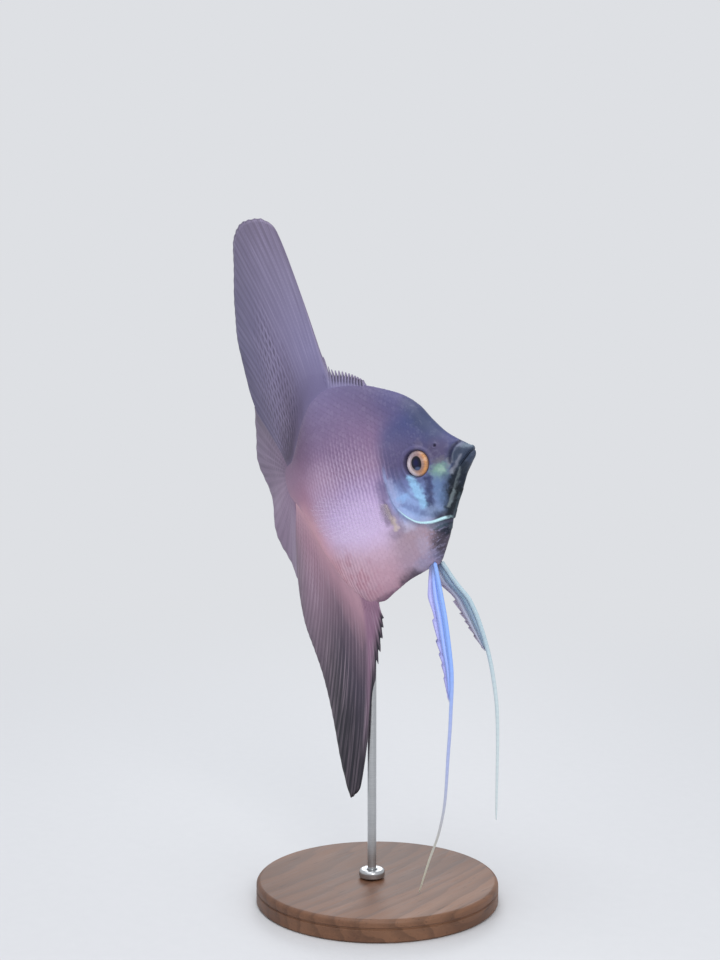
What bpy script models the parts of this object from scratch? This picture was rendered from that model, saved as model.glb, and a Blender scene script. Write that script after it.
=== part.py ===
"""Freshwater angelfish (Pterophyllum scalare), a life-size still model held up on a display stand.

The fish is laid out first along its own straight body: S is the distance behind the snout, W the
distance out to the fish's right side and H the height above its long axis. FishPose then bends the tail
to the left, pitches the nose up and lifts the fish over its stand. The world is in metres, +X is
forward, the right flank faces -Y, and the origin is the centre of the underside of the stand.
"""

import math
from bisect import bisect_right

import bmesh
import bpy
import numpy as np
from mathutils import Euler, Vector

MM = 0.001

# Driving dimensions, in millimetres
STANDARD_LENGTH = 70.0  # snout to the base of the tail fin
EYE_DIAMETER = 7.6
FIN_THICKNESS = 0.6
GAP = 0.3  # between one solid and the next
NOSE_UP = math.radians(15.0)
TAIL_BEND = math.radians(42.0)
BEND_START = 36.0
BEND_END = 86.0

# The stand
BASE_DIAMETER = 66.0
BASE_HEIGHT = 6.0
BASE_CHAMFER = 1.2
ROD_DIAMETER = 2.4
COLLAR_DIAMETER = 7.0
COLLAR_HEIGHT = 2.2

# The snout over the stand, and the rod's foot on it
SNOUT_PLACE = (34.0, -4.0, 124.0)
ROD_PLACE = (-1.0, -1.1)
ROD_TOP = 100.0  # seated in the trunk, which it enters beside the anal fin's root

# The body seen from the side: (distance behind the snout, height)
BACK_OUTLINE = (
    (0.0, 1.0), (2.3, 2.6), (7.4, 6.7), (11.3, 11.6), (14.0, 15.7), (18.6, 19.7), (24.0, 22.6),
    (29.0, 24.9), (35.5, 27.0), (42.0, 27.8), (48.5, 26.2), (54.5, 21.6), (60.0, 15.6), (64.5, 12.4),
    (70.5, 11.8),
)
BELLY_OUTLINE = (
    (0.0, -1.2), (2.3, -3.4), (6.3, -9.4), (10.4, -15.0), (14.2, -21.4), (17.6, -25.4), (22.5, -27.1),
    (28.5, -28.6), (34.0, -30.8), (38.5, -32.5), (42.0, -32.4), (48.0, -28.0), (54.0, -20.0), (59.5, -11.0),
    (64.5, -2.6), (70.5, 2.0),
)
# Height of the widest level of the body, and half its width there
WIDEST_LEVEL = ((0.0, -0.2), (8.0, -0.4), (16.0, 0.0), (30.0, 2.0), (50.0, 4.0), (70.5, 7.0))
HALF_WIDTH = (
    (0.0, 1.1), (2.3, 2.0), (7.0, 3.5), (12.0, 4.9), (18.0, 5.9), (26.0, 6.4), (34.0, 6.3), (44.0, 5.4),
    (54.0, 3.8), (62.0, 2.5), (70.5, 1.5),
)
BODY_SIDES = 28
BODY_STATION_STEP = 2.2
KEEL_SHARPNESS = 1.12  # 1 is an ellipse, more is a lens with a keel above and below


def level_slopes(places, values):
    """Slopes at the points that keep the curve smooth and never carry it past a point."""
    runs = np.diff(values) / np.diff(places)
    inner = [
        2.0 * before * after / (before + after) if before * after > 0.0 else 0.0
        for before, after in zip(runs, runs[1:])
    ]
    return [runs[0], *inner, runs[-1]]


def profile(points):
    """A smooth curve through (distance, value) points, as a function of the distance."""
    places = [point[0] for point in points]
    values = [point[1] for point in points]
    slopes = level_slopes(places, values)

    def value_at(place):
        index = min(max(bisect_right(places, place) - 1, 0), len(places) - 2)
        span = places[index + 1] - places[index]
        t = min(max((place - places[index]) / span, 0.0), 1.0)
        rise = t * t * (3.0 - 2.0 * t)
        start_turn = t * (1.0 - t) ** 2 * span * slopes[index]
        end_turn = t * t * (t - 1.0) * span * slopes[index + 1]
        level = values[index] + (values[index + 1] - values[index]) * rise
        return float(level + start_turn + end_turn)

    return value_at


back_height = profile(BACK_OUTLINE)
belly_height = profile(BELLY_OUTLINE)
widest_level = profile(WIDEST_LEVEL)
half_width = profile(HALF_WIDTH)


def ease(t):
    """0 to 1 with a soft start and end."""
    t = min(max(t, 0.0), 1.0)
    return t * t * (3.0 - 2.0 * t)


class FishPose:
    """Turns places on the straight fish into places in the world."""

    STEP = 0.5
    FRONT = -10.0
    REAR = 140.0

    def __init__(self):
        count = int((self.REAR - self.FRONT) / self.STEP)
        self.stations = [self.FRONT + self.STEP * i for i in range(count)]
        self.spine = []
        x, y = -self.FRONT, 0.0
        for station in self.stations:
            self.spine.append((x, y))
            turn = self.heading(station + self.STEP / 2.0)
            x -= math.cos(turn) * self.STEP
            y += math.sin(turn) * self.STEP

    @staticmethod
    def heading(s):
        return TAIL_BEND * ease((s - BEND_START) / (BEND_END - BEND_START))

    def level_point(self, s, w, h, root=None):
        """The place before the nose is pitched up. A fin's ray keeps the heading of its root."""
        root = s if root is None else root
        place = (root - self.FRONT) / self.STEP
        index = min(max(int(place), 0), len(self.spine) - 2)
        t = place - index
        x = self.spine[index][0] * (1 - t) + self.spine[index + 1][0] * t
        y = self.spine[index][1] * (1 - t) + self.spine[index + 1][1] * t
        turn = self.heading(root)
        x -= math.cos(turn) * (s - root) + math.sin(turn) * w
        y += math.sin(turn) * (s - root) - math.cos(turn) * w
        return x, y, h

    def __call__(self, s, w, h, root=None):
        x, y, z = self.level_point(s, w, h, root)
        forward = x * math.cos(NOSE_UP) - z * math.sin(NOSE_UP)
        up = x * math.sin(NOSE_UP) + z * math.cos(NOSE_UP)
        return Vector((
            (forward + SNOUT_PLACE[0]) * MM,
            (y + SNOUT_PLACE[1]) * MM,
            (up + SNOUT_PLACE[2]) * MM,
        ))


pose = FishPose()


def clear_scene():
    for thing in list(bpy.data.objects):
        bpy.data.objects.remove(thing, do_unlink=True)


def collection(name):
    group = bpy.data.collections.new(name)
    bpy.context.scene.collection.children.link(group)
    return group


def material(name, colour, roughness, metallic=0.0):
    surface = bpy.data.materials.new(name)
    surface.use_nodes = True
    shader = surface.node_tree.nodes["Principled BSDF"]
    shader.inputs["Base Color"].default_value = (*colour, 1.0)
    shader.inputs["Roughness"].default_value = roughness
    shader.inputs["Metallic"].default_value = metallic
    return surface


def finish(name, shape, group, surface, smooth_angle=40.0):
    """Makes the named object of a bmesh, with its own material."""
    bmesh.ops.recalc_face_normals(shape, faces=shape.faces)
    if shape.calc_volume(signed=True) < 0.0:
        bmesh.ops.reverse_faces(shape, faces=shape.faces)
    mesh = bpy.data.meshes.new(name)
    shape.to_mesh(mesh)
    shape.free()
    mesh.shade_smooth()
    mesh.set_sharp_from_angle(angle=math.radians(smooth_angle))
    thing = bpy.data.objects.new(name, mesh)
    group.objects.link(thing)
    if surface:
        thing.data.materials.append(surface)
    return thing


def cutter(name, shape, group):
    thing = finish(name, shape, group, None)
    thing.hide_render = True
    thing.display_type = "WIRE"
    return thing


def boolean(thing, tool, operation):
    step = thing.modifiers.new(f"{operation.lower()} {tool.name}", "BOOLEAN")
    step.object = tool
    step.operation = operation
    step.solver = "EXACT"


# Body


def body_section(s):
    """Points (W, H) round the body at one distance behind the snout."""
    level = widest_level(s)
    above = back_height(s) - level
    below = level - belly_height(s)
    wide = half_width(s)
    points = []
    for side in range(BODY_SIDES):
        turn = 2.0 * math.pi * side / BODY_SIDES
        across = math.cos(turn)
        upward = math.sin(turn)
        w = wide * math.copysign(abs(across) ** KEEL_SHARPNESS, across)
        h = level + upward * (above if upward > 0.0 else below)
        points.append((w, h))
    return points


def body_loft(front, rear):
    """The closed body from one distance behind the snout to another, still straight."""
    count = max(2, round((rear - front) / BODY_STATION_STEP))
    shape = bmesh.new()
    rings = []
    for i in range(count + 1):
        s = front + (rear - front) * i / count
        rings.append([shape.verts.new((s, w, h)) for w, h in body_section(s)])
    for before, after in zip(rings, rings[1:]):
        for side in range(BODY_SIDES):
            other = (side + 1) % BODY_SIDES
            shape.faces.new((before[side], before[other], after[other], after[side]))
    shape.faces.new(rings[0])
    shape.faces.new(rings[-1])
    bmesh.ops.recalc_face_normals(shape, faces=shape.faces)
    return shape


def part_off(shape, point, normal):
    """Keeps what lies behind a plane, against its normal, and closes the cut."""
    everything = shape.verts[:] + shape.edges[:] + shape.faces[:]
    bmesh.ops.bisect_plane(
        shape, geom=everything, plane_co=point, plane_no=normal, clear_outer=True, dist=1e-5
    )
    rim = [edge for edge in shape.edges if edge.is_boundary]
    bmesh.ops.edgeloop_fill(shape, edges=rim)


def pose_straight_shape(shape):
    for vert in shape.verts:
        vert.co = pose(*vert.co)


def body_piece(name, front, rear, group, surface, cuts=()):
    shape = body_loft(front, rear)
    for point, normal in cuts:
        part_off(shape, point, normal)
    pose_straight_shape(shape)
    return finish(name, shape, group, surface)


# The gill covers' rear edges lie on one round cut through the body
GILL_CENTRE = (10.4, -0.9)
GILL_RADIUS = 16.2
JAW_REAR = 6.0
MOUTH_SLOPE = 0.6  # the mouth falls this much for each millimetre back
MOUTH_OPENING = 0.5
TRUNK_REAR = 58.0


def gill_disc(name, radius, group):
    shape = bmesh.new()
    bmesh.ops.create_cone(
        shape, cap_ends=True, segments=56, radius1=radius * MM, radius2=radius * MM, depth=40.0 * MM
    )
    disc = cutter(name, shape, group)
    disc.location = pose(GILL_CENTRE[0], 0.0, GILL_CENTRE[1])
    disc.rotation_euler = Euler((math.radians(90.0), 0.0, 0.0))
    return disc


def build_body(parts, cutters, skin, lips):
    mouth = Vector((MOUTH_SLOPE, 0.0, 1.0)).normalized()
    slit = mouth * MOUTH_OPENING / 2.0
    start = Vector((0.0, 0.0, -0.2))
    body_piece("upper_jaw", 0.0, JAW_REAR, parts, lips, [(start + slit, -mouth)])
    body_piece("lower_jaw", 0.0, JAW_REAR, parts, lips, [(start - slit, mouth)])

    head = body_piece("head", JAW_REAR + GAP, 32.0, parts, skin)
    boolean(head, gill_disc("gill_cut_inner", GILL_RADIUS, cutters), "INTERSECT")
    trunk = body_piece("trunk", JAW_REAR + GAP, TRUNK_REAR, parts, skin)
    boolean(trunk, gill_disc("gill_cut_outer", GILL_RADIUS + GAP, cutters), "DIFFERENCE")
    boolean(trunk, rod_hole(cutters), "DIFFERENCE")
    body_piece("tail_stalk", TRUNK_REAR + GAP, STANDARD_LENGTH, parts, skin)
    return head


# Eyes

EYE_PLACE = (14.8, 3.3, 0.0)  # S, W and H of the ball's centre
EYE_DEPTH = 5.8  # the ball from its back to the front of the cornea
EYE_FORWARD = math.radians(12.0)  # how far the pupil looks ahead of straight sideways


def eye_ball(grow=0.0):
    shape = bmesh.new()
    bmesh.ops.create_uvsphere(shape, u_segments=20, v_segments=12, radius=0.5)
    across = (EYE_DIAMETER + grow) * MM
    deep = (EYE_DEPTH + grow) * MM
    bmesh.ops.scale(shape, vec=(across, across, deep), verts=shape.verts)
    return shape


def set_eye(thing, side):
    """side is 1 on the right and -1 on the left."""
    s, w, h = EYE_PLACE
    thing.location = pose(s, side * w, h)
    ahead = side * EYE_FORWARD
    thing.rotation_euler = Euler((math.radians(90.0), 0.0, ahead))


def build_eyes(parts, cutters, head, surface):
    for name, side in (("right", 1.0), ("left", -1.0)):
        set_eye(finish(f"eye_{name}", eye_ball(), parts, surface), side)
        socket = cutter(f"socket_{name}", eye_ball(2.0 * GAP), cutters)
        set_eye(socket, side)
        boolean(head, socket, "DIFFERENCE")


# Fins: each is a sheet of rays from a root line to an outer edge, then thickened


def outline(points):
    """A curve (S, W, H) through points given as (share of the fin's root, S, W, H)."""
    axes = [profile([(point[0], point[axis]) for point in points]) for axis in (1, 2, 3)]
    return lambda share: tuple(axis(share) for axis in axes)


def fin_sheet(name, root, edge, rays, steps, sweep, group, surface):
    """root and edge give (S, W, H) along the fin, and sweep how late a ray turns back."""
    shape = bmesh.new()
    bmesh.ops.create_grid(shape, x_segments=rays, y_segments=steps, size=0.5)
    for vert in shape.verts:
        share = vert.co.x + 0.5
        t = vert.co.y + 0.5
        foot = root(share)
        tip = edge(share)
        s = foot[0] + (tip[0] - foot[0]) * t**sweep
        w = foot[1] + (tip[1] - foot[1]) * t
        h = foot[2] + (tip[2] - foot[2]) * t
        vert.co = pose(s, w, h, root=foot[0])
    thing = finish(name, shape, group, surface)
    shell = thing.modifiers.new("fin thickness", "SOLIDIFY")
    shell.thickness = FIN_THICKNESS * MM
    shell.offset = 0.0
    return thing


DORSAL_ROOT = (29.5, 66.0)
DORSAL_EDGE = (
    (0.0, 29.6, 0.0, 26.4), (0.10, 33.2, 0.0, 28.9), (0.19, 37.0, 0.0, 31.0), (0.275, 40.6, 0.0, 32.8),
    (0.32, 41.9, 0.0, 37.0), (0.355, 49.4, 0.0, 76.5), (0.41, 55.0, 0.0, 80.8), (0.48, 61.5, 0.0, 82.0),
    (0.56, 67.5, 0.0, 79.5), (0.65, 72.5, 0.0, 72.5), (0.75, 79.5, 0.0, 62.0), (0.87, 85.0, 0.0, 50.5),
    (0.95, 84.2, 0.0, 38.8), (1.0, 80.0, 0.0, 27.6),
)
ANAL_ROOT = (40.5, 66.0)
ANAL_EDGE = (
    (0.0, 40.0, 0.0, -36.5), (0.055, 41.6, 0.0, -41.0), (0.106, 44.2, 0.0, -46.5),
    (0.157, 47.2, 0.0, -52.5), (0.204, 61.0, 0.0, -81.0), (0.28, 65.0, 0.0, -82.8),
    (0.34, 66.5, 0.0, -75.0), (0.44, 67.8, 0.0, -63.0), (0.57, 70.3, 0.0, -51.0), (0.70, 73.2, 0.0, -41.0),
    (0.83, 76.4, 0.0, -31.5), (0.95, 78.0, 0.0, -19.8), (1.0, 75.8, 0.0, -10.8),
)
ROOT_LIFT = 0.8  # the fins' roots clear the ridges of the back and belly


def build_median_fins(group, surface):
    def back_root(share):
        s = DORSAL_ROOT[0] + (DORSAL_ROOT[1] - DORSAL_ROOT[0]) * share
        return s, 0.0, back_height(s) + ROOT_LIFT

    def belly_root(share):
        s = ANAL_ROOT[0] + (ANAL_ROOT[1] - ANAL_ROOT[0]) * share
        return s, 0.0, belly_height(s) - ROOT_LIFT

    fin_sheet("dorsal_fin", back_root, outline(DORSAL_EDGE), 34, 8, 1.5, group, surface)
    fin_sheet("anal_fin", belly_root, outline(ANAL_EDGE), 28, 8, 1.6, group, surface)


CAUDAL_EDGE = (
    (0.0, 84.0, -0.8, -21.5), (0.10, 88.5, -0.8, -17.5), (0.28, 91.0, -0.6, -8.0), (0.46, 91.0, -0.3, 2.0),
    (0.62, 91.0, 0.0, 11.0), (0.78, 91.5, 0.2, 20.0), (0.92, 91.0, 0.4, 28.0), (1.0, 87.0, 0.4, 33.5),
)


def build_caudal_fin(group, surface):
    def root(share):
        s = STANDARD_LENGTH + GAP
        return s, 0.0, 2.2 + 9.4 * share

    fin_sheet("caudal_fin", root, outline(CAUDAL_EDGE), 20, 6, 1.0, group, surface)


PECTORAL_ROOT = ((25.6, 6.6, -8.0), (25.0, 6.2, -12.6))
PECTORAL_EDGE = (
    (0.0, 45.0, 9.6, -2.0), (0.25, 48.5, 10.2, -5.0), (0.5, 48.0, 10.0, -10.0), (0.75, 43.5, 9.2, -14.0),
    (1.0, 35.0, 7.9, -15.6),
)


def build_pectoral_fins(group, surface):
    top, low = PECTORAL_ROOT
    for name, side in (("right", 1.0), ("left", -1.0)):
        edge = outline(tuple((p[0], p[1], side * p[2], p[3]) for p in PECTORAL_EDGE))

        def root(share, side=side):
            place = Vector(top).lerp(Vector(low), share)
            return place.x, side * place.y, place.z

        fin_sheet(f"pectoral_fin_{name}", root, edge, 12, 6, 1.0, group, surface)


# Pelvic fins: a folded blade behind a long first ray that runs on as a thread

PELVIC = {
    "right": {
        "ray": (
            (0.0, 18.2, 1.8, -25.1), (0.08, 17.8, 2.6, -34.8), (0.16, 17.6, 3.4, -41.3),
            (0.27, 17.9, 4.6, -51.7), (0.42, 20.4, 6.1, -64.5), (0.55, 23.2, 7.0, -74.4),
            (0.70, 26.5, 7.8, -85.3), (0.80, 30.0, 8.0, -92.4), (0.90, 35.5, 8.0, -100.0),
            (1.0, 40.5, 8.0, -107.5),
        ),
        "blade": 0.41,
    },
    "left": {
        "ray": (
            (0.0, 17.8, -1.8, -24.9), (0.06, 16.4, -3.2, -31.8), (0.13, 14.6, -5.0, -37.2),
            (0.22, 14.0, -6.2, -43.6), (0.31, 14.1, -7.2, -49.5), (0.50, 15.6, -8.6, -62.5),
            (0.68, 18.2, -9.0, -73.5), (0.84, 21.3, -9.0, -84.5), (1.0, 24.0, -9.0, -94.0),
        ),
        "blade": 0.33,
    },
}
BLADE_RISE = ((0.0, -0.5), (0.1, -0.2), (0.25, 0.3), (1.0, 0.35))  # of the rear edge, as a share of the width
BLADE_WIDTH = ((0.0, 4.2), (0.12, 7.0), (0.25, 6.2), (0.5, 5.0), (0.75, 3.2), (1.0, 0.8))
THREAD_DIAMETER = 0.6
THREAD_START = 0.004  # of the ray, past the end of the blade: the gap between the two


def build_pelvic_fins(group, surface):
    blade_width = profile(BLADE_WIDTH)
    blade_rise = profile(BLADE_RISE)
    for name, fin in PELVIC.items():
        ray = outline(fin["ray"])

        def front(share, ray=ray, fin=fin):
            return ray(share * fin["blade"])

        def rear(share, ray=ray, fin=fin):
            s, w, h = ray(share * fin["blade"])
            wide = blade_width(share)
            return s + wide, w, h + blade_rise(share) * wide

        fin_sheet(f"pelvic_fin_{name}", front, rear, 14, 3, 1.0, group, surface)
        thread = bpy.data.curves.new(f"pelvic_thread_{name}", "CURVE")
        thread.dimensions = "3D"
        thread.bevel_depth = THREAD_DIAMETER / 2.0 * MM
        thread.bevel_resolution = 2
        thread.use_fill_caps = True
        line = thread.splines.new("POLY")
        steps = 18
        line.points.add(steps)
        begin = fin["blade"] + THREAD_START
        for i in range(steps + 1):
            line.points[i].co = (*pose(*ray(begin + (1.0 - begin) * i / steps)), 1.0)
        piece = bpy.data.objects.new(f"pelvic_thread_{name}", thread)
        piece.data.materials.append(surface)
        group.objects.link(piece)


# Stand


def rod_hole(cutters):
    shape = bmesh.new()
    radius = (ROD_DIAMETER / 2.0 + GAP) * MM
    bmesh.ops.create_cone(shape, cap_ends=True, segments=24, radius1=radius, radius2=radius, depth=ROD_TOP * MM)
    hole = cutter("rod_hole", shape, cutters)
    hole.location = (ROD_PLACE[0] * MM, ROD_PLACE[1] * MM, (ROD_TOP / 2.0 + GAP) * MM)
    return hole


def build_stand(parts, wood, steel):
    shape = bmesh.new()
    radius = BASE_DIAMETER / 2.0 * MM
    bmesh.ops.create_cone(
        shape, cap_ends=True, segments=45, radius1=radius, radius2=radius, depth=BASE_HEIGHT * MM
    )
    bmesh.ops.translate(shape, vec=(0.0, 0.0, BASE_HEIGHT / 2.0 * MM), verts=shape.verts)
    rim = [e for e in shape.edges if min(v.co.z for v in e.verts) > (BASE_HEIGHT - 0.01) * MM]
    bmesh.ops.bevel(
        shape, geom=rim, offset=BASE_CHAMFER * MM, segments=3, affect="EDGES", profile=0.5, material=-1
    )
    finish("stand_base", shape, parts, wood)

    shape = bmesh.new()
    radius = ROD_DIAMETER / 2.0 * MM
    low = BASE_HEIGHT + GAP
    bmesh.ops.create_cone(
        shape, cap_ends=True, segments=24, radius1=radius, radius2=radius, depth=(ROD_TOP - low) * MM
    )
    rod = finish("stand_rod", shape, parts, steel)
    rod.location = (ROD_PLACE[0] * MM, ROD_PLACE[1] * MM, (ROD_TOP + low) / 2.0 * MM)

    shape = bmesh.new()
    inner = (ROD_DIAMETER / 2.0 + GAP) * MM
    outer = COLLAR_DIAMETER / 2.0 * MM
    section = ((inner, low), (outer, low), (outer, low + 1.2), (outer - 1.0 * MM, low + COLLAR_HEIGHT))
    verts = [shape.verts.new((x, 0.0, z * MM)) for x, z in (*section, (inner, low + COLLAR_HEIGHT))]
    edges = [shape.edges.new((verts[i - 1], verts[i])) for i in range(len(verts))]
    bmesh.ops.spin(
        shape, geom=verts + edges, cent=(0.0, 0.0, 0.0), axis=(0.0, 0.0, 1.0), angle=2.0 * math.pi,
        steps=24, use_merge=True
    )
    collar = finish("stand_collar", shape, parts, steel)
    collar.location = (ROD_PLACE[0] * MM, ROD_PLACE[1] * MM, 0.0)


def main():
    clear_scene()
    parts = collection("Freshwater angelfish")
    cutters = collection("Cutters")
    skin = material("Dusky lilac skin", (0.30, 0.22, 0.33), 0.35)
    lips = material("Grey lips", (0.24, 0.23, 0.28), 0.4)
    eye = material("Gold eye", (0.62, 0.42, 0.12), 0.08)
    fin = material("Dusky fin", (0.22, 0.18, 0.24), 0.45)
    clear = material("Clear fin", (0.70, 0.68, 0.72), 0.3)
    blue = material("Pale blue pelvic fin", (0.32, 0.45, 0.75), 0.4)
    wood = material("Dark walnut", (0.13, 0.07, 0.04), 0.4)
    steel = material("Satin steel rod", (0.6, 0.6, 0.6), 0.3, 1.0)

    head = build_body(parts, cutters, skin, lips)
    build_eyes(parts, cutters, head, eye)
    build_median_fins(parts, fin)
    build_caudal_fin(parts, fin)
    build_pectoral_fins(parts, clear)
    build_pelvic_fins(parts, blue)
    build_stand(parts, wood, steel)


main()
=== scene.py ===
# %% [markdown]
# # A freshwater angelfish on a display stand
#
# The piece is a still, life-size model of a grown angelfish, as a natural history museum would show it. One
# steel rod holds it over a turned walnut base. The fish has a soft skin, thin overlapping scales, two glossy
# eyes, seven fins and a pair of long feelers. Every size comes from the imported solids, so this script starts
# by loading them, and it keeps their box to compare with the finished model.

import math

import bmesh
import bpy
import numpy as np
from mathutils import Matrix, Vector

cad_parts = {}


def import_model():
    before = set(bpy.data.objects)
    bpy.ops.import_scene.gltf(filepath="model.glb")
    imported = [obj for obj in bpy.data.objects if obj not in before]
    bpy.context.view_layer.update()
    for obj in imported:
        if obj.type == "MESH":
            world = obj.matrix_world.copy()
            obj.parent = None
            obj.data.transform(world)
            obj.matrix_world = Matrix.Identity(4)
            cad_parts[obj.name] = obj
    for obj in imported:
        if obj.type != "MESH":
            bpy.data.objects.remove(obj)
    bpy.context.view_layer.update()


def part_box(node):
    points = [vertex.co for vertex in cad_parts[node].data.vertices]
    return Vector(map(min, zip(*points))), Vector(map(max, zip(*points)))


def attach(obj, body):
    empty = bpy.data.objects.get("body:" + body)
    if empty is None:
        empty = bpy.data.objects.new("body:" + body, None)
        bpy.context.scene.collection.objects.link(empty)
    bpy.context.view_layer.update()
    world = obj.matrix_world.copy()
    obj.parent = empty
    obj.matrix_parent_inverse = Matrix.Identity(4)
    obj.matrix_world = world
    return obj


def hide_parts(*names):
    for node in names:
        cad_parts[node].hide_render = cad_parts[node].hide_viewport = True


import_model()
MM = 0.001
SIDES = (("right", 1.0), ("left", -1.0))

# %% [markdown]
# ## The fish laid out straight
#
# A fish is easiest to describe along its own straight body: S is the distance behind the snout, W the
# distance out to its right side and H the height over its long axis, all in millimetres. A few outlines
# then say how high, low and wide it is at each S. A smooth curve through measured points could be a spline
# object, but a small function is easier to ask for any number of places at once, so the curves are worked
# out with arrays. The numbers are the ones that shaped the solids.

# %% Smooth curves through a few points


def profile(points):
    """A curve through (place, value) points that never runs past a point, for arrays of places."""
    places, values = (np.array(column, float) for column in zip(*points))
    runs = np.diff(values) / np.diff(places)
    inner = [2.0 * a * b / (a + b) if a * b > 0.0 else 0.0 for a, b in zip(runs, runs[1:])]
    slopes = np.array([runs[0], *inner, runs[-1]])

    def value_at(place):
        place = np.asarray(place, float)
        index = np.clip(np.searchsorted(places, place, side="right") - 1, 0, len(places) - 2)
        span = places[index + 1] - places[index]
        t = np.clip((place - places[index]) / span, 0.0, 1.0)
        level = values[index] + (values[index + 1] - values[index]) * t * t * (3.0 - 2.0 * t)
        bend = t * (1.0 - t) ** 2 * slopes[index] + t * t * (t - 1.0) * slopes[index + 1]
        return level + bend * span

    return value_at


def rows_of(*columns):
    """One row per place out of columns, which may be arrays or numbers."""
    return np.stack(np.broadcast_arrays(*columns), axis=-1)


def outline(points):
    """A curve in space through points given as (share, S, W, H)."""
    axes = [profile([(point[0], point[axis]) for point in points]) for axis in (1, 2, 3)]
    return lambda share: rows_of(*(axis(share) for axis in axes))


def ease(value, low=0.0, high=1.0):
    """0 below low, 1 above high and a soft S between them; low may be the larger."""
    t = np.clip((np.asarray(value, float) - low) / (high - low), 0.0, 1.0)
    return t * t * (3.0 - 2.0 * t)


def hump(value, centre, width):
    """1 at the centre, falling away smoothly on both sides."""
    return np.exp(-(((value - centre) / width) ** 2))


back_height = profile((
    (0.0, 1.0), (2.3, 2.6), (7.4, 6.7), (11.3, 11.6), (14.0, 15.7), (18.6, 19.7), (24.0, 22.6),
    (29.0, 24.9), (35.5, 27.0), (42.0, 27.8), (48.5, 26.2), (54.5, 21.6), (60.0, 15.6), (64.5, 12.4),
    (70.5, 11.8),
))
belly_height = profile((
    (0.0, -1.2), (2.3, -3.4), (6.3, -9.4), (10.4, -15.0), (14.2, -21.4), (17.6, -25.4), (22.5, -27.1),
    (28.5, -28.6), (34.0, -30.8), (38.5, -32.5), (42.0, -32.4), (48.0, -28.0), (54.0, -20.0), (59.5, -11.0),
    (64.5, -2.6), (70.5, 2.0),
))
widest_level = profile(((0.0, -0.2), (8.0, -0.4), (16.0, 0.0), (30.0, 2.0), (50.0, 4.0), (70.5, 7.0)))
half_width = profile((
    (0.0, 1.1), (2.3, 2.0), (7.0, 3.5), (12.0, 4.9), (18.0, 5.9), (26.0, 6.4), (34.0, 6.3), (44.0, 5.4),
    (54.0, 3.8), (62.0, 2.5), (70.5, 1.5),
))
print(f"deepest body {float(back_height(40.0) - belly_height(40.0)):.1f} mm, length 70 mm")

# %% [markdown]
# ## The pose
#
# The straight fish is turned into the posed one in three moves: the rear half bends to the fish's left, the
# nose is pitched up, and the fish is lifted over its stand. An armature or a Curve modifier could bend it,
# but a plain mesh is easier to reuse, and a function bends every piece in the same way, from the skin to the
# last scale. A fin's ray is stiff, so it keeps the heading that its root has.

# %% Bend, pitch and lift
NOSE_UP = math.radians(15.0)
TAIL_BEND = math.radians(42.0)
BEND_START = 36.0
BEND_END = 86.0
SNOUT_PLACE = np.array((34.0, -4.0, 124.0))
SPINE_STEP = 0.5
SPINE_STATIONS = np.arange(-10.0, 140.0, SPINE_STEP)


def heading(s):
    return TAIL_BEND * ease(s, BEND_START, BEND_END)


spine_turns = heading(SPINE_STATIONS + SPINE_STEP / 2.0)[:-1]
spine_x = 10.0 - np.concatenate([[0.0], np.cumsum(np.cos(spine_turns) * SPINE_STEP)])
spine_y = np.concatenate([[0.0], np.cumsum(np.sin(spine_turns) * SPINE_STEP)])


def pose(places, root=None):
    """World places in metres for places (S, W, H) in millimetres on the straight fish."""
    s, w, h = places[..., 0], places[..., 1], places[..., 2]
    root = s if root is None else root
    turn = heading(root)
    x = np.interp(root, SPINE_STATIONS, spine_x) - np.cos(turn) * (s - root) - np.sin(turn) * w
    y = np.interp(root, SPINE_STATIONS, spine_y) + np.sin(turn) * (s - root) - np.cos(turn) * w
    forward = x * math.cos(NOSE_UP) - h * math.sin(NOSE_UP)
    up = x * math.sin(NOSE_UP) + h * math.cos(NOSE_UP)
    return (rows_of(forward, y, up) + SNOUT_PLACE) * MM


snout = pose(np.array([0.0, 0.0, 0.0]))
jaw_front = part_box("upper_jaw")[1].x
print(f"snout at x {snout[0] / MM:.1f} mm, and the jaw's solid reaches {jaw_front / MM:.1f} mm")

# %% [markdown]
# ## Camera, floor and light
#
# A model this size is shown as small museum pieces are: on a pale table that runs away into a
# pale background, under large soft lights. A curved paper sweep would do it, but it gets in the way when the
# camera goes round. Here the floor is one wide disc whose finish fades into the colour of the background, so
# there is no horizon from any side. One large lamp stands over the camera's right shoulder, one hangs above
# like an aquarium's own lamp, and a weak one behind lifts the outline.

# %% Camera
CAMERA_AZIMUTH = math.radians(38.0)
CAMERA_ELEVATION = math.radians(3.0)
CAMERA_DISTANCE = 0.380
CAMERA_AIM = Vector((-0.00094, -0.00647, 0.11513))
CAMERA_LENS = 53.44

away = Vector((
    math.sin(CAMERA_AZIMUTH) * math.cos(CAMERA_ELEVATION),
    -math.cos(CAMERA_AZIMUTH) * math.cos(CAMERA_ELEVATION),
    math.sin(CAMERA_ELEVATION),
))
lens = bpy.data.cameras.new("camera")
lens.lens = CAMERA_LENS
lens.sensor_width = 36.0
lens.clip_start = 0.01
camera = bpy.data.objects.new("camera", lens)
camera.location = CAMERA_AIM + away * CAMERA_DISTANCE
camera.rotation_euler = away.to_track_quat("Z", "Y").to_euler()
bpy.context.scene.collection.objects.link(camera)
bpy.context.scene.camera = camera
bpy.context.scene.view_settings.view_transform = "Standard"
print(f"camera at {[round(v, 3) for v in camera.location]} m")

# %% [markdown]
# ## Writing materials as sums
#
# A finish is a network of small nodes. Wiring them one by one hides what they do, so two small classes let
# the network be written as sums. A Wire stands for one output, and +, -, * and / on it add Math nodes. A
# Finish is one material: its node() adds any other node, first its settings and then its sockets. Colours
# only go through Mix nodes, because a Math node would turn them grey; lay() puts one more colour over the
# finish's own where a mask lets it through, and paint() joins the result to the shader.

# %% Wires and finishes


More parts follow.
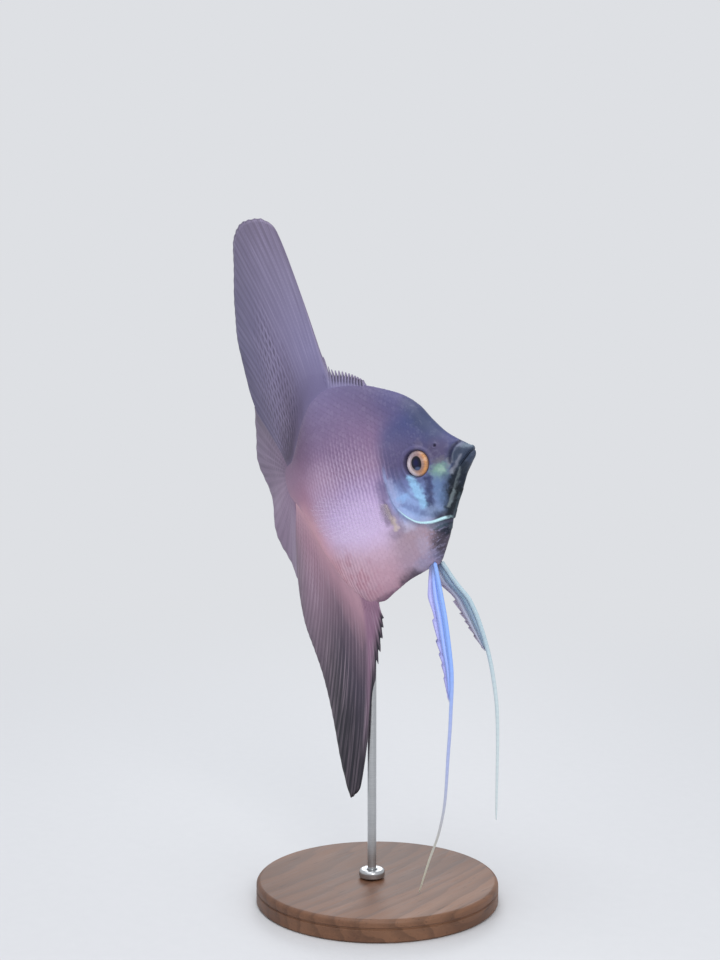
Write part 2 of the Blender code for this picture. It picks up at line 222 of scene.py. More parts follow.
def tint(red, green, blue):
    """A colour given as 0 to 255 in screen values, in the linear values that nodes use."""
    shares = (red / 255.0, green / 255.0, blue / 255.0)
    linear = [((v + 0.055) / 1.055) ** 2.4 if v > 0.0393 else v / 12.92 for v in shares]
    return (*linear, 1.0)


class Wire:
    """One output of a node."""

    def __init__(self, finish, socket):
        self.finish = finish
        self.socket = socket

    def __add__(self, other):
        return self.finish.math("ADD", self, other)

    def __sub__(self, other):
        return self.finish.math("SUBTRACT", self, other)

    def __rsub__(self, other):
        return self.finish.math("SUBTRACT", other, self)

    def __mul__(self, other):
        return self.finish.math("MULTIPLY", self, other)

    def __truediv__(self, other):
        return self.finish.math("DIVIDE", self, other)

    def __abs__(self):
        return self.finish.math("ABSOLUTE", self)

    __radd__ = __add__
    __rmul__ = __mul__


class Finish:
    """One material, with its Principled shader. Values that are the same all over are set by name."""

    def __init__(self, name, **values):
        self.material = bpy.data.materials.new(name)
        self.material.use_nodes = True
        self.tree = self.material.node_tree
        self.shader = self.tree.nodes["Principled BSDF"]
        for socket, value in values.items():
            self.shader.inputs[socket.replace("_", " ").title().replace("Ior", "IOR")].default_value = value
        self.colour = None

    def feed(self, socket, value):
        if isinstance(value, Wire):
            self.tree.links.new(value.socket, socket)
        else:
            socket.default_value = value

    def node(self, kind, settings=None, inputs=None, output=0):
        node = self.tree.nodes.new("ShaderNode" + kind)
        for name, value in (settings or {}).items():
            if name == "stops":
                self.set_stops(node.color_ramp, value)
            else:
                setattr(node, name, value)
        for name, value in (inputs or {}).items():
            self.feed(node.inputs[name], value)
        return Wire(self, node.outputs[output])

    @staticmethod
    def set_stops(ramp, stops):
        while len(ramp.elements) < len(stops):
            ramp.elements.new(1.0)
        for element, (place, *values) in zip(ramp.elements, stops):
            element.position = place
            element.color = tint(*values)

    def math(self, operation, *values):
        return self.node("Math", {"operation": operation}, dict(enumerate(values)))

    def soft(self, value, low, high):
        """0 at low and 1 at high with a soft S between."""
        inputs = {"Value": value, "From Min": low, "From Max": high}
        return self.node("MapRange", {"interpolation_type": "SMOOTHSTEP"}, inputs)

    def mix(self, factor, first, second):
        settings = {"data_type": "RGBA", "clamp_factor": True}
        return self.node("Mix", settings, {0: factor, 6: first, 7: second}, output=2)

    def lay(self, mask, *values):
        """Lays a colour of 0 to 255 screen values over what is there, where the mask is 1."""
        self.colour = self.mix(mask, self.colour, tint(*values))

    def ramp(self, value, stops):
        """A colour from stops of (place, red, green, blue)."""
        return self.node("ValToRGB", {"stops": stops}, {0: value})

    def attribute(self, name):
        return self.node("Attribute", {"attribute_name": name}, output=1)

    def split(self, vector):
        wire = self.node("SeparateXYZ", None, {0: vector})
        return [Wire(self, socket) for socket in wire.socket.node.outputs]

    def join(self, x, y, z):
        return self.node("CombineXYZ", None, {0: x, 1: y, 2: z})

    def object_place(self):
        return self.node("TexCoord", output=3)

    def stretch(self, vector, scale):
        return self.node("VectorMath", {"operation": "MULTIPLY"}, {0: vector, 1: scale})

    def noise(self, vector, scale, detail=3.0, roughness=0.5):
        inputs = {"Vector": vector, "Scale": scale, "Detail": detail, "Roughness": roughness}
        return self.node("TexNoise", None, inputs)

    def length(self, x, y):
        return self.math("SQRT", x * x + y * y)

    def off_ray(self, phase):
        """0 on a fin's ray and 1 halfway between two, for a phase that counts the rays."""
        return abs(self.math("FRACT", phase + 0.5) - 0.5) * 2.0

    def spot(self, x, y, centre, reach, soft=0.6):
        """1 inside an oval about centre, with reach (across, up), fading over its outer part."""
        off = self.length((x - centre[0]) / reach[0], (y - centre[1]) / reach[1])
        return self.soft(off, 1.0 + soft, 1.0 - soft)

    def stroke(self, x, y, start, end, width, soft=0.6):
        """1 along a straight line from start to end."""
        run = (end[0] - start[0], end[1] - start[1])
        square = run[0] ** 2 + run[1] ** 2
        along = ((x - start[0]) * run[0] + (y - start[1]) * run[1]) / square
        along = self.math("MINIMUM", self.math("MAXIMUM", along, 0.0), 1.0)
        off = self.length(x - start[0] - along * run[0], y - start[1] - along * run[1])
        return self.soft(off, width * (1.0 + soft), width * (1.0 - soft))

    def bump(self, height, strength, depth):
        """height is 0 to 1, and depth in metres is how far that stands out."""
        inputs = {"Strength": strength, "Distance": depth, "Height": height}
        self.feed(self.shader.inputs["Normal"], self.node("Bump", None, inputs))

    def paint(self, roughness=None, alpha=None, coat=None):
        sockets = {"Base Color": self.colour, "Roughness": roughness, "Alpha": alpha, "Coat Weight": coat}
        for name, value in sockets.items():
            if value is not None:
                self.feed(self.shader.inputs[name], value)


# %% [markdown]
# ### The table and its background
#
# Fading the floor into the background needs a mix of two shaders: a matt painted table near the model, and
# further out a surface that glows with the background's own colour. The distance from the stand drives it.

# %% Floor and background
BACKGROUND = tint(222, 224, 228)
FLOOR_RADIUS = 4.0

table = Finish("pale_table", roughness=0.62, specular_ior_level=0.25)
flat = table.object_place()
distance = table.length(*table.split(flat)[:2])
grain = table.noise(flat, 260.0, 4.0)
table.colour = tint(203, 204, 206)
table.lay(grain * 0.35, 193, 194, 197)
table.paint()
table.bump(grain, 0.15, 0.0003)
glow = table.node("Emission", None, {"Color": BACKGROUND, "Strength": 1.0})
faded = table.node(
    "MixShader", None, {0: table.soft(distance, 0.10, 0.62), 1: Wire(table, table.shader.outputs[0]), 2: glow}
)
table.tree.links.new(faded.socket, table.tree.nodes["Material Output"].inputs["Surface"])

disc = bmesh.new()
bmesh.ops.create_circle(disc, cap_ends=True, segments=96, radius=FLOOR_RADIUS)
floor_mesh = bpy.data.meshes.new("table_top")
disc.to_mesh(floor_mesh)
disc.free()
floor = bpy.data.objects.new("table_top", floor_mesh)
floor_mesh.materials.append(table.material)
bpy.context.scene.collection.objects.link(floor)

world = bpy.data.worlds.new("studio")
world.use_nodes = True
world.node_tree.nodes["Background"].inputs["Color"].default_value = BACKGROUND
bpy.context.scene.world = world
print(f"table of {FLOOR_RADIUS} m radius")

# %% Lamps


def soft_lamp(name, place, aim, size, power, colour):
    light = bpy.data.lights.new(name, "AREA")
    light.shape = "DISK"
    light.size = size
    light.energy = power
    light.color = colour
    lamp = bpy.data.objects.new(name, light)
    lamp.location = place
    lamp.rotation_euler = (Vector(place) - Vector(aim)).to_track_quat("Z", "Y").to_euler()
    bpy.context.scene.collection.objects.link(lamp)


MIDDLE = (0.0, 0.0, 0.10)
soft_lamp("lamp_key", (0.62, -0.52, 0.62), MIDDLE, 0.45, 3.0, (1.0, 0.98, 0.96))
soft_lamp("lamp_above", (-0.05, -0.12, 0.80), MIDDLE, 0.50, 2.4, (0.95, 0.97, 1.0))
soft_lamp("lamp_behind", (-0.45, 0.60, 0.45), MIDDLE, 0.35, 1.2, (0.95, 0.97, 1.0))
print("three soft lamps")

# %% [markdown]
# ## The skin
#
# The body is one closed skin from snout to tail. It could be sculpted, or grown from a few rings with a
# Subdivision modifier. A flat grid rolled into a tube suits it better: one way along the grid is S, the
# other goes up the right flank and down the left one, so every vertex knows its place on the straight fish.
# The rows are spaced evenly by the length of skin between them, from a table of how long each section is.

# %% Sections of the body
KEEL_SHARPNESS = 1.12
BODY_END = 70.3
TABLE_STATIONS = np.linspace(0.0, 70.5, 283)
TABLE_TURNS = np.linspace(-math.pi / 2.0, math.pi / 2.0, 361)
TABLE_LEVELS = np.linspace(-1.0, 1.0, 241)


def section(s, turn):
    """Places on the right flank; turn is -90 degrees on the belly's ridge and 90 on the back's."""
    s, turn = np.broadcast_arrays(np.asarray(s, float), np.asarray(turn, float))
    level = widest_level(s)
    reach = np.where(turn > 0.0, back_height(s) - level, level - belly_height(s))
    w = half_width(s) * np.abs(np.cos(turn)) ** KEEL_SHARPNESS
    return rows_of(s, w, level + np.sin(turn) * reach)


table_spots = section(TABLE_STATIONS[:, None], TABLE_TURNS[None, :])
skin_run = np.cumsum(np.linalg.norm(np.diff(table_spots, axis=1), axis=2), axis=1)
skin_run = np.concatenate([np.zeros((len(TABLE_STATIONS), 1)), skin_run], axis=1)
middle = len(TABLE_TURNS) // 2
skin_down = skin_run[:, middle]
skin_up = skin_run[:, -1] - skin_down
signed_run = skin_run - skin_down[:, None]
run_share = signed_run / np.where(signed_run > 0.0, skin_up[:, None], skin_down[:, None])
turn_table = np.array([np.interp(TABLE_LEVELS, row, TABLE_TURNS) for row in run_share])


def blend_rows(table, row, column):
    """Values between the cells of a table, for places given as fractional rows and columns."""
    row = np.clip(row, 0.0, table.shape[0] - 1.001)
    column = np.clip(column, 0.0, table.shape[1] - 1.001)
    i, j = row.astype(int), column.astype(int)
    down, right = row - i, column - j
    if table.ndim == 3:
        down, right = down[..., None], right[..., None]
    top = table[i, j] * (1 - right) + table[i, j + 1] * right
    low = table[i + 1, j] * (1 - right) + table[i + 1, j + 1] * right
    return top * (1 - down) + low * down


def flesh(s, around):
    """The plain body: around runs 0 to 0.5 up the right flank and 0.5 to 1 down the left."""
    s, around = np.broadcast_arrays(np.asarray(s, float), np.mod(around, 1.0))
    right = around < 0.5
    level = np.where(right, 4.0 * around - 1.0, 3.0 - 4.0 * around)
    row = s / TABLE_STATIONS[-1] * (len(TABLE_STATIONS) - 1)
    turn = blend_rows(turn_table, row, (level + 1.0) / 2.0 * (len(TABLE_LEVELS) - 1))
    place = section(s, turn)
    front = np.sqrt(1.0 - np.clip(1.0 - s / 1.3, 0.0, 1.0) ** 2)
    rear = np.sqrt(1.0 - np.clip((s - BODY_END + 1.0), 0.0, 1.0) ** 2)
    round_off = front * rear
    centre = widest_level(s)
    w = place[..., 1] * round_off * np.where(right, 1.0, -1.0)
    return rows_of(s, w, centre + (place[..., 2] - centre) * round_off)


print(f"skin round the deepest section {2.0 * float((skin_down + skin_up).max()):.0f} mm")

# %% [markdown]
# ### Folds of the face
#
# The face is what people look at first. A cichlid's mouth is two soft lips that can shoot forward, so
# behind them lies the curved fold of the upper jaw's plate. The gill cover stands over the body with a free
# edge, a flatter bone edge lies on the cheek in front of it, and one small nostril opens before each eye.
# The eye sits in a round socket with a soft rim. Each of these is a rise or a dip along the skin's normal,
# written from its distance to a line, a circle or a point, which keeps them crisp at any number of
# vertices.

# %% Relief of the skin
EYE_PLACE = np.array((15.1, 3.3, 0.0))
GILL_CENTRE = (10.4, -0.9)
gill_radius = profile((
    (-110.0, 14.1), (-85.0, 14.6), (-70.0, 15.8), (-55.0, 16.5), (-40.0, 16.4), (-15.0, 15.4), (8.0, 15.1),
    (35.0, 15.8), (60.0, 14.6), (90.0, 13.0),
))
JAW_FOLD_CENTRE = (0.15, -2.1)
CHEEK_CENTRE, CHEEK_REACH = (11.2, -1.2), 10.2
THROAT = ((6.4, -9.0), (12.2, -17.9))
NOSTRIL = (9.4, 3.4)
COAT_DEPTH = 0.22
GAPE_SLOPE = 0.80


def gape_height(s, h):
    """Height over the slanting line between the lips, for arrays and for wires."""
    return (s * GAPE_SLOPE + h - 0.2) / math.hypot(GAPE_SLOPE, 1.0)


def from_point(s, h, centre):
    return np.hypot(s - centre[0], h - centre[1])


def from_line(s, h, start, end):
    """Distance from a straight line between two points, and 0 to 1 along it."""
    run = np.subtract(end, start)
    along = np.clip(((s - start[0]) * run[0] + (h - start[1]) * run[1]) / (run @ run), 0.0, 1.0)
    return np.hypot(s - start[0] - along * run[0], h - start[1] - along * run[1]), along


def angle_round(s, h, centre):
    return np.degrees(np.arctan2(h - centre[1], s - centre[0]))


def gill_edge(s, h):
    """Distance behind the gill cover's edge, and 1 along the part of it that is free."""
    angle = angle_round(s, h, GILL_CENTRE)
    free = ease(angle, -108.0, -92.0) * ease(angle, 52.0, 10.0)
    return from_point(s, h, GILL_CENTRE) - gill_radius(angle), free


def relief(s, h):
    rise = np.zeros_like(s)
    # lips and the gape between them, which falls as it goes back
    gape = gape_height(s, h)
    lips = ease(s, 5.4, 3.6)
    rise += lips * (0.40 * hump(gape, 0.90, 0.62) + 0.32 * hump(gape, -0.80, 0.50))
    rise -= ease(s, 5.0, 3.2) * 0.52 * hump(gape, 0.05, 0.24)
    # the upper jaw's plate and the fold behind it
    fold = from_point(s, h, JAW_FOLD_CENTRE)
    angle = angle_round(s, h, JAW_FOLD_CENTRE)
    fold_part = ease(angle, -14.0, 2.0) * ease(angle, 62.0, 48.0)
    rise += fold_part * (0.30 * hump(fold, 4.9, 0.8) - 0.36 * hump(fold, 6.1, 0.55))
    # the lower jaw's edge, then straight folds: start, end, rise and half width of each
    off, along = from_line(s, h, (4.0, -3.3), (10.3, -12.8))
    rise += 0.22 * hump(off, 0.0, 0.36) * ease(along, 0.0, 0.2)
    for start, end, height, width in (
        ((3.4, -4.2), (9.4, -13.2), -0.18, 0.34),  # groove behind the jaw
        (*THROAT, 0.16, 0.32),
        ((25.9, -8.2), (25.2, -12.8), 0.45, 1.15),  # fleshy foot of the pectoral fin
        ((27.6, -7.8), (26.9, -13.4), -0.22, 0.7),  # crease behind it
    ):
        rise += height * hump(from_line(s, h, start, end)[0], 0.0, width)
    # cheek bone and gill cover
    cheek = from_point(s, h, CHEEK_CENTRE)
    angle = angle_round(s, h, CHEEK_CENTRE)
    cheek_part = ease(angle, -100.0, -80.0) * ease(angle, 30.0, 5.0)
    rise += cheek_part * (0.16 * hump(cheek, 9.3, 0.5) - 0.16 * hump(cheek, CHEEK_REACH, 0.5))
    behind, free = gill_edge(s, h)
    inside = 0.22 * np.exp(-((np.minimum(behind, 0.0) / 2.4) ** 2))
    outside = -0.20 * np.exp(-np.maximum(behind, 0.0) / 1.3)
    rise += free * (0.45 + 0.55 * ease(h, -4.0, -10.0)) * np.where(behind < 0.0, inside, outside)
    # eye socket with its rim, and the nostril
    ring = from_point(s, h, (EYE_PLACE[0], EYE_PLACE[2]))
    rise -= 1.5 * ease(ring, 3.66, 3.22)
    rise += 0.20 * hump(ring, 4.15, 0.34)
    rise -= 0.14 * hump(ring, 5.0, 0.5)
    nostril = from_point(s, h, NOSTRIL)
    rise += 0.15 * hump(nostril, 0.55, 0.22) - 0.75 * hump(nostril, 0.0, 0.30)
    # feet of the pelvic fins
    rise += 0.55 * hump(from_point(s, h, (18.6, -26.4)), 0.0, 2.4)
    return rise


# %% [markdown]
# Rolling the grid: the two long sides of the grid land on each other along the belly, and each end comes
# together in one point, so merging doubles closes the skin. The stations are closest together on the face,
# where the folds are only a few tenths of a millimetre wide.

# %% Roll the skin
STATIONS = np.concatenate([
    1.3 - 1.3 * np.cos(np.linspace(0.0, math.pi / 2.0, 9)[:-1]),
    np.linspace(1.3, 27.5, 157)[:-1],
    np.linspace(27.5, BODY_END - 1.0, 96)[:-1],
    BODY_END - 1.0 + np.sin(np.linspace(0.0, math.pi / 2.0, 7)),
])
ROWS = 340


def normals_of(spots):
    """Outward normals of a grid of places whose rows are S and whose columns go round the body."""
    along = np.gradient(spots, axis=0)
    wide = np.concatenate([spots[:, -2:-1], spots, spots[:, 1:2]], axis=1)
    around = (wide[:, 2:] - wide[:, :-2]) / 2.0
    normal = np.cross(around, along)
    normal /= np.maximum(np.linalg.norm(normal, axis=2, keepdims=True), 1e-9)
    normal[0], normal[-1] = (-1.0, 0.0, 0.0), (1.0, 0.0, 0.0)
    return normal


row_places = np.linspace(0.0, 1.0, ROWS + 1)
plain_spots = flesh(STATIONS[:, None], row_places[None, :])
plain_normals = normals_of(plain_spots)
standing = relief(plain_spots[..., 0], plain_spots[..., 2]) - COAT_DEPTH
skin_spots = plain_spots + plain_normals * standing[..., None]
skin_spots[0] = skin_spots[0].mean(axis=0)
skin_spots[-1] = skin_spots[-1].mean(axis=0)
skin_normals = normals_of(skin_spots)


def made_mesh(name, shape):
    """A mesh of what a bmesh shape holds; the shape is used up."""
    mesh = bpy.data.meshes.new(name)
    shape.to_mesh(mesh)
    shape.free()
    return mesh


def get_places(mesh):
    places = np.empty(len(mesh.vertices) * 3, np.float32)
    mesh.vertices.foreach_get("co", places)
    return places.reshape(-1, 3)


def set_places(mesh, places):
    mesh.vertices.foreach_set("co", places.astype(np.float32).ravel())


def write_vectors(mesh, name, vectors):
    """A named vector on every vertex, which materials can read."""
    made = mesh.attributes.new(name, "FLOAT_VECTOR", "POINT")
    made.data.foreach_set("vector", np.asarray(vectors, np.float32).ravel())


def write_map(mesh, name, flat_places):
    """A UV map from one flat place per vertex."""
    corners = np.empty(len(mesh.loops), np.int32)
    mesh.loops.foreach_get("vertex_index", corners)
    layer = mesh.uv_layers.new(name=name)
    layer.data.foreach_set("uv", np.asarray(flat_places, np.float32)[corners].ravel())


def grid_mesh(name, along, across):
    """A flat grid as a mesh, with the row and column of each of its vertices."""
    shape = bmesh.new()
    bmesh.ops.create_grid(shape, x_segments=along, y_segments=across, size=0.5)
    mesh = made_mesh(name, shape)
    flat = get_places(mesh)[:, :2]
    rows, columns = np.rint((flat + 0.5) * (along, across)).astype(int).T
    return mesh, rows, columns


def close_mesh(mesh):
    """Merges what lies on each other and turns the faces outwards."""
    shape = bmesh.new()
    shape.from_mesh(mesh)
    bmesh.ops.remove_doubles(shape, verts=shape.verts, dist=1e-7)
    bmesh.ops.dissolve_degenerate(shape, dist=1e-8, edges=shape.edges)
    bmesh.ops.recalc_face_normals(shape, faces=shape.faces)
    if shape.calc_volume(signed=True) < 0.0:
        bmesh.ops.reverse_faces(shape, faces=shape.faces)
    open_edges = sum(edge.is_boundary for edge in shape.edges)
    volume = shape.calc_volume()
    shape.to_mesh(mesh)
    shape.free()
    return open_edges, volume


def add_piece(mesh, finish, slot, *replaced):
    """The object of a finished mesh, which rides on the part and may stand for some of its solids."""
    mesh.shade_smooth()
    piece = bpy.data.objects.new(mesh.name, mesh)
    bpy.context.scene.collection.objects.link(piece)
    mesh.materials.append(finish.material)
    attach(piece, "root")
    if replaced:
        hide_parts(*replaced)


MAP_LENGTH = 72.0  # of straight fish across the bake map

skin_mesh, skin_rows, skin_columns = grid_mesh("fish_skin", len(STATIONS) - 1, ROWS)
spots = skin_spots[skin_rows, skin_columns]
set_places(skin_mesh, pose(spots))
write_vectors(skin_mesh, "fish_place", spots)
edge_off, edge_free = gill_edge(spots[:, 0], spots[:, 2])
write_vectors(skin_mesh, "gill_place", rows_of(edge_off, edge_free, 0.0))
write_map(skin_mesh, "OFBake", rows_of(STATIONS[skin_rows] / MAP_LENGTH, skin_columns / ROWS))
open_edges, volume = close_mesh(skin_mesh)
print(f"skin of {len(skin_mesh.polygons)} faces, {open_edges} open edges, {volume * 1e6:.1f} cm3")

# %% [markdown]
# ## Markings
#
# Skin and scales carry the same markings, so they are one function that both finishes call. It works on the
# straight fish: soft ramps from back to belly for the flank and for the head, then the patches of the face.
# An angelfish of this dusky kind is lilac grey, palest below the middle of the flank, where part of the pale
# lilac is a painted sheen, and pink toward the anal fin. Its cheek shines blue and green between dark bars,
# and the lower edge of its gill cover shines brightest. Some marks are painted light: painted shade under the
# throat, breast and belly, in the gape, the jaw's fold, the nostril, the eye's socket and behind the gill
# cover and the pectoral fin's foot, and painted highlights on the lips, the jaw's edges, the breast's scales
# and the scales' edges. A painted picture would be quicker, but these are shapes in the fish's own measures,
# which stay sharp.

# %% Colours of the body
BODY_LOW, BODY_HIGH = -34.0, 30.0
ROW_PITCH = 1.22  # between rows of scales, in millimetres


def level_stops(*stops):
    """Ramp stops given as (height in millimetres, red, green, blue), from belly to back."""
    span = BODY_HIGH - BODY_LOW
    return [((h - BODY_LOW) / span, *values) for h, *values in stops]


def body_colour(finish):
    """Gives a finish the body's colours."""
    place = finish.attribute("fish_place")
    s, w, h = finish.split(place)
    soft, lay = finish.soft, finish.lay
    behind, free = finish.split(finish.attribute("gill_place"))[:2]
    wander = finish.noise(place, 0.30, 2.0) - 0.5
    loose = loose_s, loose_h = s + wander * 2.2, h + wander * 1.8
    level = (loose_h - BODY_LOW) / (BODY_HIGH - BODY_LOW)

    flank = finish.ramp(level, level_stops(
        (-33.0, 165, 130, 147), (-27.0, 194, 156, 174), (-20.0, 200, 166, 184), (-14.0, 212, 187, 222),
        (-8.0, 199, 174, 220), (-3.0, 170, 146, 190), (3.0, 152, 125, 156), (9.0, 132, 107, 141),
        (16.0, 124, 106, 141), (26.0, 118, 107, 145),
    ))
    rear = finish.ramp(level, level_stops(
        (-33.0, 200, 152, 170), (-22.0, 208, 152, 168), (-14.0, 206, 154, 172), (-8.0, 198, 152, 168),
        (0.0, 164, 121, 147), (6.0, 144, 112, 140), (12.0, 110, 84, 114), (18.0, 98, 78, 108),
        (26.0, 112, 98, 134),
    ))
    head = finish.ramp(level, level_stops(
        (-30.0, 130, 126, 148), (-22.0, 160, 142, 162), (-17.0, 146, 140, 164), (-13.0, 130, 148, 190),
        (-7.0, 110, 130, 176), (-3.0, 96, 102, 146), (1.0, 86, 80, 118), (6.0, 96, 90, 128),
        (11.0, 92, 92, 134), (20.0, 92, 104, 152),
    ))
    finish.colour = finish.mix(soft(loose_s, 44.0, 58.0), flank, rear)
    on_head = soft(behind, 5.5, -1.5) * soft(loose_s, 31.0, 22.0)
    finish.colour = finish.mix(on_head, finish.colour, head)
    # the breast's ramp darkens at its two lowest stops: painted shade where the breast turns under
    on_breast = soft(loose_h, -13.0, -17.0) * soft(loose_s, 33.0, 24.0)
    breast = finish.ramp(level, level_stops(
        (-32.0, 96, 86, 98), (-28.0, 122, 108, 122), (-25.0, 176, 152, 174), (-18.0, 174, 150, 166),
        (-14.0, 166, 150, 172),
    ))
    finish.colour = finish.mix(on_breast, finish.colour, breast)

    # places on the face that soft noises shift, so that no marking has a ruled edge
    ripple = finish.noise(place, 0.85, 3.0) - 0.5
    drift = finish.noise(finish.stretch(place, (1.0, 1.0, -1.0)), 0.75, 3.0) - 0.5
    near = near_s, near_h = s + ripple * 2.4, h + drift * 2.4
    thin = s + ripple * 0.8, h + drift * 0.8

    def spot(centre, reach, strength, *values, soft=0.6, at=near):
        lay(finish.spot(*at, centre, reach, soft) * strength, *values)

    def stroke(start, end, width, strength, *values, soft=0.6, at=near):
        lay(finish.stroke(*at, start, end, width, soft) * strength, *values)

    # pale lilac patch, partly the flank's own colour and partly a painted sheen, pink band toward the anal
    # fin, dusky nape and rear
    spot((35.5, -11.5), (9.0, 8.0), 0.45, 226, 206, 246, soft=0.7, at=loose)
    spot((47.5, 1.0), (6.0, 6.0), 0.40, 196, 164, 192, soft=0.7, at=loose)
    stroke((60.5, -5.0), (49.5, -26.0), 3.6, 0.35, 216, 162, 174, soft=0.8, at=loose)
    nape = soft(loose_h - loose_s * 0.8, -13.0, 1.5)
    lay(nape * 0.42, 50, 50, 84)
    lay(nape * soft(loose_s, 30.0, 20.0) * 0.34, 40, 66, 122)
    # painted highlights and shade: fine upright pale lines where the edges of the scales catch the light,
    # darker lines between them
    lined = finish.spot(loose_s, loose_h, (38.5, -1.5), (12.0, 10.5), 0.7)
    bend = finish.noise(place, 0.55, 2.0)
    line = finish.math("SINE", (s + bend * 0.9) * (2.0 * math.pi / ROW_PITCH))
    pale_line, dark_line = soft(line, 0.0, 1.0), soft(line, 0.0, -1.0)
    lay(lined * pale_line * 0.42, 212, 190, 222)
    lay(lined * dark_line * 0.30, 96, 74, 112)
    # the same painted lines low on the flank toward the anal fin, over a pink mottle
    low_lined = finish.spot(loose_s, loose_h, (46.0, -24.5), (9.0, 7.0), 0.6)
    lay(low_lined * soft(wander, -0.04, 0.10) * 0.45, 176, 118, 136)
    lay(low_lined * pale_line * 0.42, 226, 192, 206)
    lay(low_lined * dark_line * 0.24, 140, 96, 114)

    # the fore face: mauve before the eye, green over blue on the cheek, a bright streak and a dark bar
    stroke((9.6, 7.6), (15.4, 17.0), 2.4, 0.48, 60, 72, 94, soft=0.9)
    spot((9.2, 1.8), (3.2, 3.0), 0.50, 92, 82, 104)
    spot((20.6, 1.4), (2.4, 4.6), 0.36, 92, 84, 122)
    spot((13.8, 14.0), (2.4, 2.0), 0.30, 56, 62, 92)
    spot((12.4, 11.2), (2.2, 2.8), 0.32, 50, 58, 84)
    spot((13.6, 4.6), (1.1, 1.4), 0.22, 134, 124, 140)
    spot((8.6, -0.6), (1.8, 0.8), 0.50, 118, 116, 120)
    spot((9.5, -4.4), (2.1, 1.6), 0.70, 112, 140, 158)
    spot((9.4, -2.9), (2.3, 1.5), 0.85, 130, 166, 150)
    spot((8.8, -3.1), (1.0, 0.8), 0.45, 168, 196, 184)
    spot((10.8, -8.2), (1.5, 3.6), 0.75, 100, 126, 166)
    # painted shade: the dark underside of the throat reaches back along the rear edge of the jaw
    stroke((7.6, -5.4), (9.8, -11.6), 1.3, 0.60, 50, 66, 88, soft=0.9)
    stroke((10.6, -13.2), (14.2, -13.6), 0.9, 0.60, 84, 108, 130, soft=0.9)
    spot((20.4, -8.8), (4.4, 4.4), 0.80, 148, 172, 222, soft=0.5)
    stroke((24.4, -3.2), (23.2, -8.6), 1.3, 0.60, 172, 182, 224, soft=0.8)
    spot((19.8, -4.8), (2.0, 1.5), 0.60, 100, 104, 152)
    spot((21.0, -7.6), (1.8, 1.0), 0.60, 148, 188, 238)
    stroke((21.8, -9.4), (18.2, -11.2), 0.7, 0.50, 106, 120, 170)
    stroke((23.0, -10.8), (19.6, -13.2), 0.8, 0.50, 176, 192, 236)
    stroke((17.4, -3.6), (15.5, -10.4), 1.2, 0.90, 152, 198, 236)
    stroke((12.8, -4.6), (14.2, -12.2), 0.95, 0.90, 58, 64, 102, soft=0.8)
    stroke((16.8, -12.4), (13.4, -13.6), 0.8, 0.55, 96, 108, 150, soft=0.8)
    # painted shade: the throat's underside is painted nearly black, and a narrow band of painted shade runs
    # down the front of the breast where it turns under
    stroke((4.4, -4.4), (7.6, -9.0), 2.0, 0.97, 16, 26, 36, soft=0.5)
    stroke((6.9, -9.6), (12.4, -18.2), 1.8, 0.98, 14, 24, 30)
    stroke((12.6, -15.6), (16.6, -24.0), 2.0, 0.86, 28, 34, 52, soft=0.8)
    spot((14.6, -16.6), (2.2, 0.9), 0.50, 96, 122, 140)
    stroke((18.0, -23.6), (21.8, -25.2), 1.4, 0.50, 142, 140, 178, soft=0.8)
    # painted shade along the underside of the belly, where it turns away from the light
    stroke((25.0, -27.6), (30.0, -29.4), 1.4, 0.75, 66, 60, 78, soft=0.8)
    stroke((29.5, -30.0), (39.5, -32.8), 1.1, 0.60, 84, 66, 90, soft=0.8)
    # painted glints: rows of short pale flecks where the breast's scales end catch the light
    rows = finish.math("SINE", (h + s * 0.30 + ripple * 1.6) * (2.0 * math.pi / 1.15))
    breast_glint = soft(rows, -0.1, 0.8) * soft(finish.noise(place, 1.1, 2.0), 0.42, 0.60)
    lay(finish.stroke(s, h, (15.4, -17.4), (18.8, -23.4), 2.3, 0.8) * breast_glint * 0.50, 164, 160, 196)
    # slate lips with painted highlights along the upper one, painted shade on the lower lip and in the gape
    # under it, and painted highlights along the edges of the jaw
    spot((2.4, -1.0), (4.0, 3.8), 0.85, 54, 66, 82, soft=0.35)
    spot((1.0, 1.6), (1.7, 0.9), 0.60, 116, 132, 148)
    spot((3.4, 1.9), (1.1, 0.7), 0.60, 120, 126, 150)
    stroke((3.0, -0.7), (6.4, -4.2), 0.34, 0.70, 128, 132, 148, soft=0.9, at=thin)
    spot((6.4, -4.2), (0.7, 0.7), 0.60, 140, 146, 160)
    spot((6.6, -1.7), (0.7, 0.8), 0.60, 140, 144, 152)
    stroke((2.6, -2.9), (7.2, -6.6), 0.50, 0.70, 24, 34, 46, soft=0.8, at=thin)
    stroke((4.2, -3.6), (7.5, -8.8), 0.22, 0.55, 110, 120, 126, soft=0.9, at=thin)
    stroke((7.5, -8.8), (10.2, -12.5), 0.26, 0.65, 130, 142, 148, soft=0.9, at=thin)
    stroke((6.9, -9.6), (12.2, -17.9), 0.18, 0.35, 84, 100, 110, soft=0.9, at=thin)
    # painted shade in the fold behind the upper jaw's plate, and a painted highlight on the plate's edge in
    # front of the fold
    fold = finish.length(s - JAW_FOLD_CENTRE[0], h - JAW_FOLD_CENTRE[1])
    fold_part = soft(near_h, -2.8, -1.2) * soft(near_s, 2.6, 3.8)
    lay(soft(abs(fold - 6.2), 0.75, 0.10) * fold_part * 0.85, 30, 32, 62)
    lay(soft(abs(fold - 5.3), 0.40, 0.05) * fold_part * 0.30, 128, 134, 150)
    # painted shade in the gape between the lips
    lay(soft(abs(gape_height(s, h)), 0.34, 0.05) * soft(s, 5.2, 3.2) * 0.75, 18, 24, 34)
